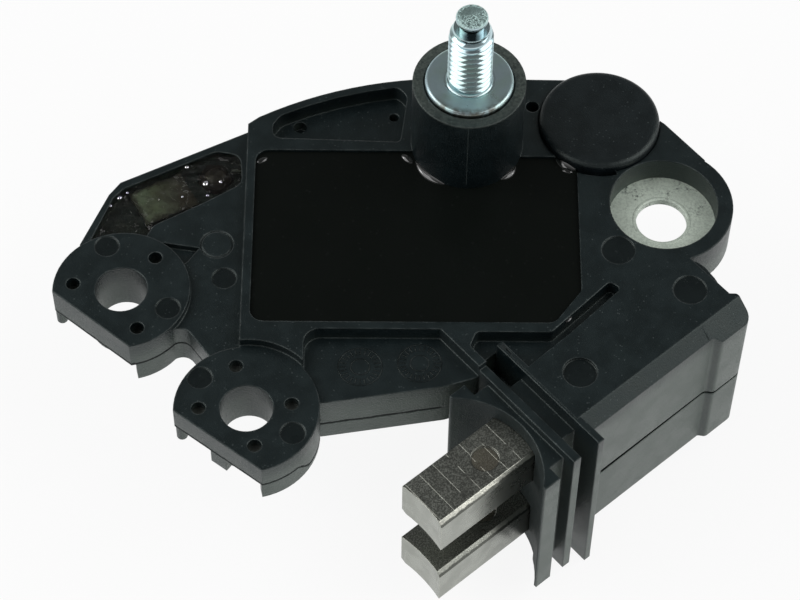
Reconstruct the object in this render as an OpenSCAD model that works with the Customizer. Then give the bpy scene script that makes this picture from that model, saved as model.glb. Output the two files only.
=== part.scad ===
// Alternator voltage regulator with brush holder.
// Millimetres. Origin on the left lug's bore, in the plane of the screw seats.
// X runs along the potting well, Y away from the brushes, Z out of the well.

/* [Plate] */
// Height of the frame round the potting well, above the screw seats
frame_top = 7.3; // [7.0:0.1:8.0]
// How far the body reaches below the screw seats
body_under = 1.5; // [1.2:0.1:2.5]
// Height of the thin deck beside the left lug
deck_top = 6; // [5.8:0.1:6.2]
// Underside of the thin deck and of the lug plates
slab_bottom = 3; // [2.8:0.1:3.4]
// Height of the floors of the two moulded trays
tray_floor = 5.4; // [5.2:0.1:5.8]
// Radius of the plate's curved back edge
back_r = 44; // [43.6:0.1:44.6]

/* [Lugs] */
// Radius of the screw bores in the two small lugs
bore_r = 2.85; // [2.6:0.05:3.1]
// Outer radius of the left lug
left_lug_r = 7.5; // [7.4:0.1:7.8]
// Outer radius of the front lug
front_lug_r = 7.8; // [7.6:0.1:8.0]
// Height of the left lug's top
left_lug_top = 6.8; // [6.6:0.1:7.0]
// Height of the front lug's top
front_lug_top = 6.2; // [6.1:0.1:6.6]
// Front lug's bore, to the right of the left one
front_lug_x = 14.1; // [13.9:0.1:14.3]
// Front lug's bore, in front of the left one
front_lug_y = 14.7; // [14.5:0.1:14.9]
// Distance from a bore to its lug's straight front edge
lug_flat = 4.95; // [4.8:0.05:5.2]
// Radius of the tube round each bore
tube_r = 3.8; // [3.6:0.1:4.7]
// Outer radius of the big lug
big_lug_r = 7.7; // [7.5:0.1:8.0]
// Radius of the screw head recess in the big lug
recess_r = 6; // [5.8:0.1:6.2]
// Big lug's hole, to the right of the left bore
big_lug_x = 59.6; // [59.4:0.1:59.8]
// Big lug's hole, behind the left bore
big_lug_y = 11.5; // [11.3:0.1:11.7]

/* [Potting well] */
// Length of the potting well
well_l = 36; // [35.8:0.1:36.2]
// Width of the potting well
well_w = 23; // [22.8:0.1:23.2]
// Width of the rim between the well and the plate's left edge
rim_w = 1; // [0.8:0.1:1.2]
// Thickness of the well's floor, above the screw seats
floor_t = 0.8; // [0.7:0.1:1.2]
// How far the set resin lies below the frame
resin_below = 0.35; // [0.1:0.05:0.6]

/* [Stud] */
// Radius of the terminal stud's thread, an M5
stud_r = 2.45; // [2.4:0.05:2.55]
// Height of the top of the stud's thread
thread_top = 25.5; // [24:0.5:30]
// Radius of the stud's plain tip
tip_r = 1.75; // [1.6:0.05:1.9]
// Radius of the stud's flange
flange_r = 4.9; // [4.7:0.1:5.1]
// Outer radius of the boss that holds the stud
boss_r = 6.25; // [6.1:0.05:6.5]
// Height of the boss
boss_top = 18.1; // [17:0.1:19]
// Stud's axis, to the right of the left bore
stud_x = 37.8; // [37.6:0.1:38.0]
// Stud's axis, behind the left bore
stud_y = 20; // [19.8:0.1:20.2]

/* [Round cover] */
// Radius of the round cover
cover_r = 6.8; // [6.6:0.1:6.9]
// How far the cover stands above the frame
cover_proud = 1; // [0.6:0.1:1.4]
// Radius of the pocket under the cover
pocket_r = 5.7; // [5.5:0.1:5.9]

/* [Brush holder] */
// Angle of the brushes to the potting well
holder_turn = 41; // [40:0.5:42]
// Distance of the brushes' middle plane from the left bore
holder_off = 40.15; // [40:0.05:40.3]
// Width of the brush holder
holder_w = 11.9; // [11.5:0.1:12.1]
// Distance of the holder's underside below the screw seats
holder_under = 14.9; // [14.6:0.1:15.6]
// Width of the chamfer along the holder's top edge
holder_chamfer = 1.5; // [1:0.1:1.7]
// Radius of the hollow in the nose, which the slip rings turn in
nose_r = 9.5; // [9.3:0.1:10.0]
// Width of the nose
nose_w = 15.2; // [15:0.1:15.6]
// Thickness of the front fin
fin_1_t = 1; // [0.8:0.1:1.2]
// Thickness of the rear fin
fin_2_t = 0.8; // [0.7:0.1:1]

/* [Brushes] */
// Width of a brush
brush_w = 6.3; // [6:0.1:6.4]
// Height of a brush, along the slip rings' axis
brush_h = 5.3; // [5:0.1:5.5]
// Length of a brush
brush_l = 20; // [18:0.5:21]
// Distance between the two brushes, middle to middle
brush_pitch = 11; // [10.8:0.1:11.2]
// Height of the upper brush's middle
brush_z = 0.5; // [0.4:0.05:0.6]
// Gap between a brush and each wall of its chamber
brush_gap = 0.12; // [0.08:0.01:0.18]
// Small bevel on two opposite long edges of a brush
brush_bevel = 0.55; // [0.3:0.05:0.8]
// Wire radius of a brush spring
spring_wire = 0.28; // [0.2:0.01:0.34]
// Mean radius of a brush spring
spring_r = 1.9; // [1.6:0.05:2.1]
// Turns of a brush spring
spring_turns = 8; // [6:1:9]
// Radius of a brush's braided lead
pigtail_r = 0.45; // [0.35:0.05:0.6]

/* [Conductors] */
// Thickness of the sheet metal conductors
sheet_t = 0.8; // [0.6:0.05:0.8]
// Radius of the hole in the ring terminal
ring_hole_r = 2.86; // [2.65:0.05:3.1]
// Height of the ring terminal's top
ring_top = 4.1; // [3.9:0.1:4.3]
// Radius of a bonding wire
wire_r = 0.2; // [0.15:0.01:0.25]

/* [Hidden] */
$fn = 96;
e = 0.5;                            // overshoot of a cut
body_bottom = -body_under;

// Potting well: left, front, right and back edges
well_x0 = front_lug_x;
well_x1 = well_x0 + well_l;
well_y0 = -4.3;
well_y1 = well_y0 + well_w;
well_step = 0.7;                    // the well is this much narrower right of the boss
well_cut = 3;                       // cut corner at the right
frame_x0 = well_x0 - rim_w;
raw_top = frame_top + e / 2;        // pieces of the plate reach here and are cut level
resin_top = frame_top - resin_below;

// Curved back edge of the plate
back_x = 36;
back_y = -15;
plate_back = back_y + back_r - 0.2;
cover_x = 52.8;
cover_y = 22.7;
cover_boss_r = cover_r + 0.1;
cover_seat = frame_top - 1.2;
cover_top = frame_top + cover_proud;

// Left deck: outer corners
deck_front = [-5, 6.4];
deck_side = [-2.2, 13.2];
deck_back = [-1, 14.9];
deck_end = [frame_x0, 22.1];
notch_foot = [9.9, -8.1];            // the notch towards the front lug starts here
deck_sink = [[4, 6.8], [8.2, 6.1], [7, 4.3], [6, 3.4]];

// Lugs
left_lug = [0, 0];
front_lug = [front_lug_x, -front_lug_y];
big_lug = [big_lug_x, big_lug_y];
left_turn = -39;                    // direction of the straight front edge
front_turn = -37;
front_step_r = front_lug_r + 0.2;   // the frame steps down round the front lug
skirt_t = 1;
skirt_in = 0.05;                    // the skirt stands back at the parting line
skirt_bottom = 0.1;
front_skirt_bottom = 0.5;
foot_bottom = 0.9;
notch_r = 1.4;                      // round corner between the two lugs
notch_a0 = 36;                      // the round corner's ends
notch_a1 = 138;
notch_lap = 0.06;                   // the corner runs this far into the left lug
wall_t = 0.8;                       // thickness of the wall below the notch
foot_r = 0.6;
rib_l = 2.1;                        // rib below the middle of the front lug's edge
rib_t = 0.8;
big_lug_bottom = 1.8;
ring_r = recess_r + 0.6;            // the ring's rim is held in the plastic
ring_clear_r = 5.2;                 // room for the machine's own boss below the ring

// Holder's own frame: u along the brushes, v across them
holder_v0 = -holder_off - holder_w / 2;
holder_v1 = -holder_off + holder_w / 2;
nose_u = 18.75;                     // tips of the nose
nose_t = 2.1;
nose_v = -holder_off - 0.3;         // middle of the nose and the fins
nose_top = tray_floor;
nose_bottom = -16.3;
nose_deep_u = 22.1;                 // deepest point of the hollow
neck_w = 8.4;                       // width of the guide between the fins
fin_1_u = 22.8;
fin_1_v0 = -48;
fin_1_v1 = -33;
fin_1_top = frame_top - 0.8;
fin_1_bottom = -16.6;
fin_2_u = 26;
fin_2_v0 = -48.3;
fin_2_v1 = -32.2;
fin_2_bottom = -18.4;
box_u = fin_2_u + fin_2_t;
pit_v = -32;                        // the pit between the fins ends here
pit_floor = 2;
step_u = 45.4;                      // the side steps out here
step_out = 0.8;
rear_wall_u = 45.2;                 // the springs push on this wall
rear_wall_t = 1;
cell_u0 = rear_wall_u + rear_wall_t;    // terminal cell behind the rear wall
tab_u = cell_u0 + 1;                // soldering tab in the cell
cell_u1 = tab_u + 1.7;
box_end_u = cell_u1 + 0.8;
corner_end_u = box_end_u + 0.6;
ledge_top = frame_top - 0.5;
pad_v = -36.4;                      // far edge of the holder's top

// Brushes
brush_u = 8.5;                      // outer end of a brush at full reach
contact_r = 18;                     // hollow of a brush's end
pigtail_bed = 4;                    // how deep the lead is tamped into the brush
pigtail_hole_r = pigtail_r + 0.1;
brush_rear_u = brush_u + brush_l;
spring_play = 0.05;
brush_lower_z = brush_z - brush_pitch;

// Conductors
tail_w = 3;
front_tail_x = well_x0 + 4.4;
tail_z = 4.3;                       // underside of the tails of the lug terminals
arm_z = 3.9;                        // underside of the brush terminals' arms
arm_w = 2.4;
tab_w = 2.6;
tab_gap = 0.75;                     // between the two soldering tabs
tab_clear = 0.1;                    // between the lower brush's tab and the cell's wall
lower_tab_v = -holder_off - 1.5 * tab_w - tab_gap;
tab_top = arm_z + sheet_t / 2;      // the tab ends inside the arm's thickness
solder_h = 1.2;                     // half height of the tab's soldering place
stud_tail_z = 4.2;
rivet_r = 1.9;                      // the stud is riveted into its busbar
busbar_w = 4;
lug_ring_in = bore_r + 0.7;
lug_ring_out = 6.4;
pad_z = 0.64;                       // top of the ceramic substrate
chip_t = 0.4;
arch = 0.9;                         // radius of a bonding wire's arch

// Gel pocket in the left deck
gel_floor = 4;
gel_top = deck_top - 0.25;
board_at = [3.9, 13.4];
board_l = 6.4;
board_w = 4.8;
board_t = 0.7;
bead_at = [9.5, 16.4];
bead_r = 1.9;
lead_z = 4.9;
lead_r = 0.3;

// Marks left by the mould
pin_r = 0.75;
mark_r = 1.35;
mark_t = 0.12;

// Functions

function unit(p) = p / norm(p);

// Points of a rounded corner at p, between the neighbours a and b
function corner(a, p, b, r, n = 5) =
    let(ua = unit(a - p), ub = unit(b - p), half = acos(ua * ub) / 2)
    let(c = p + unit(ua + ub) * r / sin(half), t0 = p + ua * r / tan(half) - c)
    let(t1 = p + ub * r / tan(half) - c, a0 = atan2(t0[1], t0[0]), a1 = atan2(t1[1], t1[0]))
    let(sweep = a1 - a0 > 180 ? a1 - a0 - 360 : a1 - a0 < -180 ? a1 - a0 + 360 : a1 - a0)
    [for (i = [0 : n]) c + r * [cos(a0 + sweep * i / n), sin(a0 + sweep * i / n)]];

// Outline with every corner rounded by its own radius
function rounded(p, r) =
    [for (i = [0 : len(p) - 1])
        each corner(p[(i + len(p) - 1) % len(p)], p[i], p[(i + 1) % len(p)], r[i])];

// Points of an arc round c
function arc(c, r, a0, a1, n) =
    [for (i = [0 : n]) c + r * [cos(a0 + (a1 - a0) * i / n), sin(a0 + (a1 - a0) * i / n)]];

// Edge of the notch between the two lugs, moved into the deck by t
function notch_edge(t) =
    let(reach = left_lug_r + notch_r - notch_lap)
    let(at = left_lug - reach * [cos(notch_a1), sin(notch_a1)])
    concat(
        [notch_foot + t * [cos(notch_a0), sin(notch_a0)]],
        arc(at, notch_r + t, notch_a0, notch_a1, 10)
    );

// The same points from last to first
function turned(p) = [for (i = [len(p) - 1 : -1 : 0]) p[i]];

// Place of a point of the holder's frame in the plate's frame
function from_holder(u, v) =
    [u * cos(holder_turn) - v * sin(holder_turn), u * sin(holder_turn) + v * cos(holder_turn)];

// Helpers

// Upright prism on an outline, from z0 to z1
module prism(points, z0, z1) {
    translate([0, 0, z0])
        linear_extrude(height = z1 - z0)
            polygon(points);
}

// Round bar from z0 to z1 on a point
module post(at, r, z0, z1) {
    translate([at[0], at[1], z0])
        cylinder(r = r, h = z1 - z0);
}

// Box given by two opposite corners
module block(a, b) {
    translate(a)
        cube(b - a);
}

// Children in the holder's frame
module in_holder() {
    rotate([0, 0, holder_turn])
        children();
}

// Section in v and z, run along u from u0 to u1
module run(points, u0, u1) {
    translate([u0, 0, 0])
        rotate([90, 0, 90])
            linear_extrude(height = u1 - u0)
                polygon(points);
}

// Outlines

well_outline = rounded(
    [
        [well_x0, well_y0], [well_x1 - well_cut, well_y0], [well_x1, well_y0 + 1.4 * well_cut],
        [well_x1, well_y1 - well_step - 1.9], [well_x1 - 1.3, well_y1 - well_step],
        [stud_x, well_y1 - well_step], [stud_x, well_y1], [well_x0, well_y1]
    ],
    [1.5, 1.5, 1, 0.4, 0.4, 0.2, 0.2, 1.5]
);

back_arc = arc([back_x, back_y], back_r, 119.5, 90, 12);

body_outline = concat(
    [front_lug, [frame_x0, -front_lug_y], [frame_x0, 22.3]],
    back_arc,
    [
        [cover_x, plate_back], [60.2, cover_y], [64.5, 17.6], [big_lug_x + 2.5, 4],
        from_holder(box_end_u - 1, holder_v1 - 1), from_holder(box_u - 0.3, holder_v1 - 1),
        from_holder(box_u - 0.3, pit_v), from_holder(fin_1_u + fin_1_t, pit_v),
        from_holder(fin_1_u + fin_1_t, fin_1_v1), from_holder(fin_1_u - 0.4, fin_1_v1),
        [35.2, -11.3], [22.1, -13.5]
    ]
);

deck_outline = [
    deck_front, deck_side, deck_back, deck_end, [frame_x0 + 1, deck_end[1]],
    [frame_x0 + 1, notch_foot[1]], each notch_edge(0), [0, 0]
];

front_tray_outline = rounded(
    [
        [20, -5.2], from_holder(fin_1_u, -26.7), from_holder(fin_1_u, pit_v - 2),
        [36, -16], [20, -16]
    ],
    [1.8, 0.3, 0.2, 0.2, 0.2]
);

back_tray_outline = rounded(
    concat(
        [[15.9, 20.4], [15.9, 22.2]],
        arc([back_x, back_y], back_r - 0.9, 116.5, 98, 4),
        [[31.1, 26.4], [30.3, 19.9]]
    ),
    [1, 1, 2, 8, 8, 8, 1, 1.5, 0.6]
);

channel_outline = rounded(
    [
        from_holder(fin_1_u + fin_1_t, -30.4), [38.6, -5.5], [46.7, -5.5], [53.2, 1.1],
        [54.4, 0.2], from_holder(33, pad_v + 0.2), from_holder(box_u - 0.3, pad_v),
        from_holder(box_u - 0.3, pit_v - 1), from_holder(fin_1_u + fin_1_t, pit_v - 1)
    ],
    [0.4, 0.7, 0.8, 0.5, 0.5, 0.8, 0.2, 0.2, 0.2]
);

// Rear corner of the holder, in u and v: it steps out over a soft ramp
end_plan = rounded(
    [
        [step_u - 0.9, holder_v0 + 3.1], [step_u - 0.9, holder_v0 + 0.1],
        [step_u - 0.2, holder_v0 - 0.1], [step_u + 0.4, holder_v0 - step_out],
        [corner_end_u, holder_v0 - step_out], [corner_end_u, holder_v0 + 1.9],
        [box_end_u - 0.3, holder_v0 + 2.7], [box_end_u - 0.3, holder_v0 + 3.1]
    ],
    [0.05, 0.05, 0.6, 0.6, 1, 0.4, 0.4, 0.05]
);

end_ledge = [
    [box_end_u - 0.4, holder_v0 + 8.7], [box_end_u + 0.45, holder_v0 + 8],
    [box_end_u + 0.65, holder_v0 + 6.8], [box_end_u + 0.45, holder_v0 + 5.1],
    [box_end_u + 0.1, holder_v0 + 3.8], [box_end_u - 0.4, holder_v0 + 2.8]
];

gel_outline = rounded(
    [
        [-4, 6.6], [-1.7, 12.8], [-0.6, 14.1], [9.6, 19.4], [12.3, 18.8], [12.6, 14.9],
        [8.4, 12.2], [3, 9.1], [1.5, 6]
    ],
    [0.3, 0.6, 0.6, 1.6, 1.4, 1.4, 1, 1.5, 0.3]
);

// Housing

// Lug plate with its straight front edge, from z0 up
module lug_plate(at, r, turn, z0, z1) {
    intersection() {
        post(at, r, z0, z1);
        translate([at[0], at[1], z0 - e])
            rotate([0, 0, turn])
                translate([-r - e, -lug_flat, 0])
                    cube([2 * r + 2 * e, r + lug_flat + e, z1 - z0 + 2 * e]);
    }
}

// Curved skirt below a lug's rim, from angle a0 to a1
module skirt(at, r, a0, a1, z0) {
    translate([at[0], at[1], z0])
        rotate([0, 0, a0])
            rotate_extrude(angle = a1 - a0)
                translate([r - skirt_t - skirt_in, 0])
                    square([skirt_t, slab_bottom - z0 + e]);
}

module plate_mass() {
    difference() {
        prism(body_outline, body_bottom, raw_top);
        // the machine's own boss reaches up to the big lug
        post(big_lug, big_lug_r, body_bottom - e, big_lug_bottom);
    }
    prism(deck_outline, slab_bottom, deck_top);
    post(big_lug, big_lug_r, big_lug_bottom, raw_top);
    post([cover_x, cover_y], cover_boss_r, body_bottom, cover_seat + e);
}

// Children in a lug's own frame, its straight front edge along X
module at_lug(at, turn) {
    translate([at[0], at[1], 0])
        rotate([0, 0, turn])
            children();
}

module lugs_mass() {
    corner_foot = foot_r - lug_flat;
    lug_plate(left_lug, left_lug_r, left_turn, slab_bottom, left_lug_top);
    post(left_lug, tube_r, 0, slab_bottom + e);
    skirt(left_lug, left_lug_r, -76, -38, skirt_bottom);
    prism(
        concat(notch_edge(skirt_in), turned(notch_edge(skirt_in + wall_t))),
        skirt_bottom, slab_bottom + e
    );
    at_lug(left_lug, left_turn)
        post([-5.35, corner_foot], foot_r, foot_bottom, slab_bottom + e);
    lug_plate(front_lug, front_lug_r, front_turn, slab_bottom, front_lug_top);
    post(front_lug, tube_r, 0, slab_bottom + e);
    skirt(front_lug, front_lug_r, -77, 2, front_skirt_bottom);
    at_lug(front_lug, front_turn) {
        post([-5.6, corner_foot], foot_r, foot_bottom - 0.1, slab_bottom + e);
        block([-rib_l / 2, -lug_flat, foot_bottom], [rib_l / 2, rib_t - lug_flat, slab_bottom + e]);
    }
}

module holder_box() {
    over = raw_top - frame_top;
    side = [
        [holder_v0, -holder_under], [holder_v1, -holder_under], [holder_v1, raw_top],
        [holder_v0 + holder_chamfer + over, raw_top], [holder_v0, frame_top - holder_chamfer]
    ];
    end_drop = holder_chamfer + 0.6;
    end_slope = (holder_chamfer + step_out) / end_drop;
    end_side = [
        [holder_v0 - step_out, 0.3 - holder_under], [holder_v0 + 3, 0.3 - holder_under],
        [holder_v0 + 3, raw_top], [holder_v0 + holder_chamfer + end_slope * over, raw_top],
        [holder_v0 - step_out, frame_top - end_drop]
    ];
    in_holder() {
        run(side, box_u - e, box_end_u);
        intersection() {
            run(end_side, step_u - 1, corner_end_u + e);
            prism(end_plan, -holder_under, raw_top + e);
        }
        // the rear end bulges out a little, up to a thin ledge
        prism(end_ledge, 1 - holder_under, ledge_top);
    }
}

// Slab of the nose or a fin, square to the brushes, from u0
module fin(u0, t, v0, v1, z0, z1) {
    block([u0, v0, z0], [u0 + t, v1, z1]);
}

// Nose, fins and the guide between them
module holder_front() {
    in_holder() {
        fin(nose_u, nose_t, nose_v - nose_w / 2, nose_v + nose_w / 2, nose_bottom, nose_top);
        fin(
            nose_u + nose_t - e, fin_1_u - nose_u - nose_t + 2 * e,
            nose_v - holder_w / 2, nose_v + holder_w / 2, -holder_under, nose_top
        );
        fin(fin_1_u, fin_1_t, fin_1_v0, fin_1_v1, fin_1_bottom, fin_1_top);
        fin(
            fin_1_u, fin_2_u - fin_1_u + e,
            nose_v - neck_w / 2, nose_v + neck_w / 2, 1 - holder_under, nose_top
        );
        fin(fin_2_u, fin_2_t, fin_2_v0, fin_2_v1, fin_2_bottom, frame_top - 0.02);
        // floor of the pit between the two fins
        fin(
            fin_1_u, fin_2_u - fin_1_u + e,
            nose_v + neck_w / 2 - e, pit_v + e, body_bottom, pit_floor
        );
    }
}

// Chamber of one brush with its spring, and the lead's hole behind it
module brush_chamber(z) {
    w = brush_w / 2 + brush_gap;
    h = brush_h / 2 + brush_gap;
    in_holder() {
        block([nose_u - e, -holder_off - w, z - h], [rear_wall_u, -holder_off + w, z + h]);
        translate([rear_wall_u - e, -holder_off, z])
            rotate([0, 90, 0])
                cylinder(r = pigtail_r + 0.3, h = rear_wall_t + 2 * e, $fn = 32);
    }
}

// Cell behind the rear wall, open below, where the leads are soldered
module terminal_cell() {
    in_holder()
        block(
            [cell_u0, lower_tab_v - tab_clear, -holder_under - e],
            [cell_u1, -holder_off + tab_w / 2 + 0.4, brush_z + brush_h / 2]
        );
}

module well_cut_shape() {
    difference() {
        prism(well_outline, floor_t, frame_top + e);
        post([stud_x, stud_y], boss_r, body_bottom, frame_top + 2 * e);
        post([cover_x, cover_y], cover_boss_r, body_bottom, frame_top + 2 * e);
    }
}

// Gap between the cover and the frame in front of it
module cover_moat() {
    translate([cover_x, cover_y, cover_seat])
        rotate([0, 0, -114])
            rotate_extrude(angle = 38)
                translate([cover_r - 1, 0])
                    square([1.6, frame_top - cover_seat + e]);
}

module mould_marks() {
    // pin holes with the embedded ring terminals showing at the bottom
    for (p = [[3.5, 4.2], [-5.3, 0.7], [2, -5]])
        post(p, pin_r, tail_z + sheet_t, left_lug_top + e);
    for (p = [[12.8, -9.4], [18.9, -14.1], [9, -14.7], [15.1, -19.3]])
        post(p, pin_r, tail_z + sheet_t, front_lug_top + e);
    post([18.9, 23.4], pin_r, tray_floor - 1.5, frame_top);
    post([29.6, 24.9], 0.55, tray_floor - 1.5, frame_top);
    post([45.3, 25], pin_r, frame_top - 2, frame_top + e);
    // round ejector marks
    post([-1.9, 5.7], mark_r, left_lug_top - mark_t, left_lug_top + e);
    post([5.2, -2.4], mark_r, left_lug_top - mark_t, left_lug_top + e);
    post([9, -10.9], mark_r, front_lug_top - mark_t, front_lug_top + e);
    post([19.1, -17.7], mark_r, front_lug_top - mark_t, front_lug_top + e);
    post([11.1, 2.1], mark_r, deck_top - mark_t, deck_top + e);
    post([26.5, 23.8], mark_r + 0.3, tray_floor - mark_t, frame_top);
    post([49.6, -10.6], mark_r + 0.5, frame_top - 0.3, frame_top + e);
    post([61.9, 0.1], mark_r + 0.5, frame_top - mark_t, frame_top + e);
    post([54.3, 5.3], mark_r + 0.5, frame_top - mark_t, frame_top + e);
    // ring groove of an exchangeable mould insert
    translate([0, 0, deck_top - mark_t])
        difference() {
            post([10.1, 6.6], 1.85, 0, 1);
            post([10.1, 6.6], 1.65, -e, 1 + e);
        }
}

module housing() {
    color("#22292b")
        difference() {
            union() {
                difference() {
                    union() {
                        plate_mass();
                        holder_box();
                    }
                    block([-10, -60, frame_top], [80, 40, raw_top + e]);
                    well_cut_shape();
                    // the frame steps down round the front lug, and is open below it
                    post(front_lug, front_step_r, front_lug_top, frame_top + e);
                    post(front_lug, front_lug_r, body_bottom - e, slab_bottom);
                    prism(front_tray_outline, tray_floor, frame_top + e);
                    prism(back_tray_outline, tray_floor - 0.2, frame_top + e);
                    prism(channel_outline, tray_floor, frame_top + e);
                    prism(gel_outline, gel_floor, deck_top + e);
                    prism(deck_sink, deck_top - 0.8, deck_top + e);
                    // seat of the cover, and the pocket under it
                    post([cover_x, cover_y], cover_boss_r, cover_seat, frame_top + e);
                    cover_moat();
                    post([cover_x, cover_y], pocket_r, floor_t, frame_top + e);
                }
                lugs_mass();
                holder_front();
                post([stud_x, stud_y], boss_r, body_bottom, boss_top);
            }
            post(left_lug, bore_r, -e, left_lug_top + e);
            post(front_lug, bore_r, -e, front_lug_top + e);
            post(big_lug, recess_r, ring_top, frame_top + e);
            post(big_lug, ring_clear_r, body_bottom - e, ring_top);
            mould_marks();
            // seat and window of the heat sink plate
            plate_seat(0.1, body_bottom - e);
            plate_window(-e, floor_t + 0.1);
            // hollow of the nose
            in_holder()
                translate([nose_deep_u - nose_r, nose_v, nose_bottom - e])
                    cylinder(r = nose_r, h = nose_top - nose_bottom + 2 * e);
            brush_chamber(brush_z);
            brush_chamber(brush_lower_z);
            terminal_cell();
            // the boss's rim round the stud's flange
            post([stud_x, stud_y], flange_r + 0.15, boss_top - 0.7, boss_top + e);
            // inserts that the plastic is moulded round
            stud_shape();
            left_lug_terminal();
            front_lug_terminal();
            ring_terminal();
            stud_busbar();
            brush_terminal_upper();
            brush_terminal_lower();
            capacitor_leads();
            pocket_lead();
        }
}

// Potting well

module plate_seat(gap, z0) {
    block(
        [well_x0 + 1 - gap, well_y0 + 1 - gap, z0],
        [well_x1 - 1 + gap, stud_y - boss_r + gap, 0]
    );
}

module plate_window(z0, z1) {
    block([well_x0 + 2, well_y0 + 2, z0], [well_x1 - 2, stud_y - boss_r - 1, z1]);
}

module heat_sink_plate() {
    color("#a9adad")
        plate_seat(0, body_bottom);
}

module ceramic_substrate() {
    color("#e4e0d2")
        block([well_x0 + 3.4, well_y0 + 2.3, 0], [well_x1 - 3.6, stud_y - boss_r - 1.3, pad_z]);
}

module die(x, y, size) {
    block([x - size / 2, y - size / 2, pad_z], [x + size / 2, y + size / 2, pad_z + chip_t]);
}

module regulator_chip() {
    color("#3b3f46")
        die(26, 5, 5);
}

module power_transistor() {
    color("#4c4f57")
        die(34, 3, 4);
}

module flyback_diode() {
    color("#5a5d63")
        die(40.5, 5, 3);
}

// One bonding wire: a riser from the substrate and an arch down to a height top
module bond(x, y, turn, top, rise_r = arch) {
    translate([x, y, 0])
        rotate([0, 0, turn]) {
            translate([0, 0, pad_z])
                cylinder(r = wire_r, h = top - pad_z, $fn = 24);
            translate([rise_r, 0, top])
                rotate([90, 0, 0])
                    rotate_extrude(angle = 180, $fn = 48)
                        translate([rise_r, 0])
                            circle(r = wire_r, $fn = 24);
        }
}

module bond_wires() {
    tail_top = tail_z + sheet_t;
    arm_top = arm_z + sheet_t;
    color("#c9c7bf") {
        bond(well_x0 + 4.9, 0.8, 180, tail_top);
        bond(front_tail_x + 2, 1.2, -90, tail_top);
        bond(well_x1 - 5.7, 2.6, 0, arm_top);
        bond(well_x1 - 5.7, -1.5, 0, arm_top);
        bond(well_x1 - 5.2, big_lug_y, 0, ring_top);
        bond(stud_x, stud_y - 10.3, 90, stud_tail_z + sheet_t);
        bond(29.6, 5, 180, pad_z + chip_t, 0.8);
        bond(26, 8.6, -90, pad_z + chip_t, 0.8);
        bond(34, 6.2, -90, pad_z + chip_t, 0.8);
        bond(40.5, 7.6, -90, pad_z + chip_t, 0.8);
    }
}

module potting_compound() {
    color("#0b0c0b")
        difference() {
            union() {
                prism(well_outline, floor_t, resin_top);
                plate_window(0, floor_t + 0.1);
            }
            post([stud_x, stud_y], boss_r, 0, frame_top);
            post([cover_x, cover_y], cover_boss_r, 0, frame_top);
            ceramic_substrate();
            regulator_chip();
            power_transistor();
            flyback_diode();
            bond_wires();
            left_lug_terminal();
            front_lug_terminal();
            ring_terminal();
            stud_busbar();
            brush_terminal_upper();
            brush_terminal_lower();
            capacitor_leads();
            pocket_lead();
        }
}

// Conductors

// Flat ring with a tail, the height of one sheet, on z
module ring_with_tail(at, r_in, r_out, z, tail_a, tail_b) {
    difference() {
        union() {
            post(at, r_out, z, z + sheet_t);
            block([tail_a[0], tail_a[1], z], [tail_b[0], tail_b[1], z + sheet_t]);
        }
        post(at, r_in, z - e, z + sheet_t + e);
    }
}

// Ring of a lug, cut straight behind the lug's front edge
module lug_terminal(at, turn, tail_a, tail_b) {
    difference() {
        ring_with_tail(at, lug_ring_in, lug_ring_out, tail_z, tail_a, tail_b);
        translate([at[0], at[1], tail_z - e])
            rotate([0, 0, turn])
                translate([-10, -20 - lug_flat + 0.7, 0])
                    cube([20, 20, sheet_t + 2 * e]);
    }
}

module left_lug_terminal() {
    color("#9aa09a")
        lug_terminal(
            left_lug, left_turn, [5, -tail_w / 2], [well_x0 + 3.6, tail_w / 2]
        );
}

module front_lug_terminal() {
    color("#9aa09a")
        lug_terminal(
            front_lug, front_turn,
            [front_tail_x, -front_lug_y + 1.5], [front_tail_x + tail_w, -0.1]
        );
}

module ring_terminal() {
    color("#a7b6a5")
        ring_with_tail(
            big_lug, ring_hole_r, ring_r, ring_top - sheet_t,
            [well_x1 - 3.9, big_lug_y - 2], [big_lug_x - 5, big_lug_y + 2]
        );
}

module stud_busbar() {
    color("#b58a5a")
        ring_with_tail(
            [stud_x, stud_y], rivet_r, busbar_w, stud_tail_z,
            [stud_x - busbar_w / 2, stud_y - 9], [stud_x + busbar_w / 2, stud_y - 2.5]
        );
}

// Arm in the plate, and the tab at its end at the place v of the terminal cell
module brush_terminal(v, tab_outline) {
    at = from_holder(tab_u + sheet_t / 2, v);
    block(
        [well_x1 - 4.3, at[1] - 0.3 - arm_w / 2, arm_z],
        [at[0] + 1, at[1] - 0.3 + arm_w / 2, arm_z + sheet_t]
    );
    in_holder()
        run(tab_outline, tab_u, tab_u + sheet_t);
}

module brush_terminal_upper() {
    v0 = -holder_off - tab_w / 2;
    v1 = -holder_off + tab_w / 2;
    z0 = brush_z - solder_h;
    color("#c2a676")
        brush_terminal(-holder_off, [[v0, z0], [v1, z0], [v1, tab_top], [v0, tab_top]]);
}

module brush_terminal_lower() {
    v0 = lower_tab_v;
    v1 = v0 + tab_w;
    foot_v = -holder_off + 1;
    z0 = brush_lower_z - solder_h;
    z1 = brush_lower_z + solder_h;
    color("#c2a676")
        brush_terminal(
            v0 + tab_w / 2,
            [[v0, z0], [foot_v, z0], [foot_v, z1], [v1, z1], [v1, tab_top], [v0, tab_top]]
        );
}

// Stud

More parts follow.
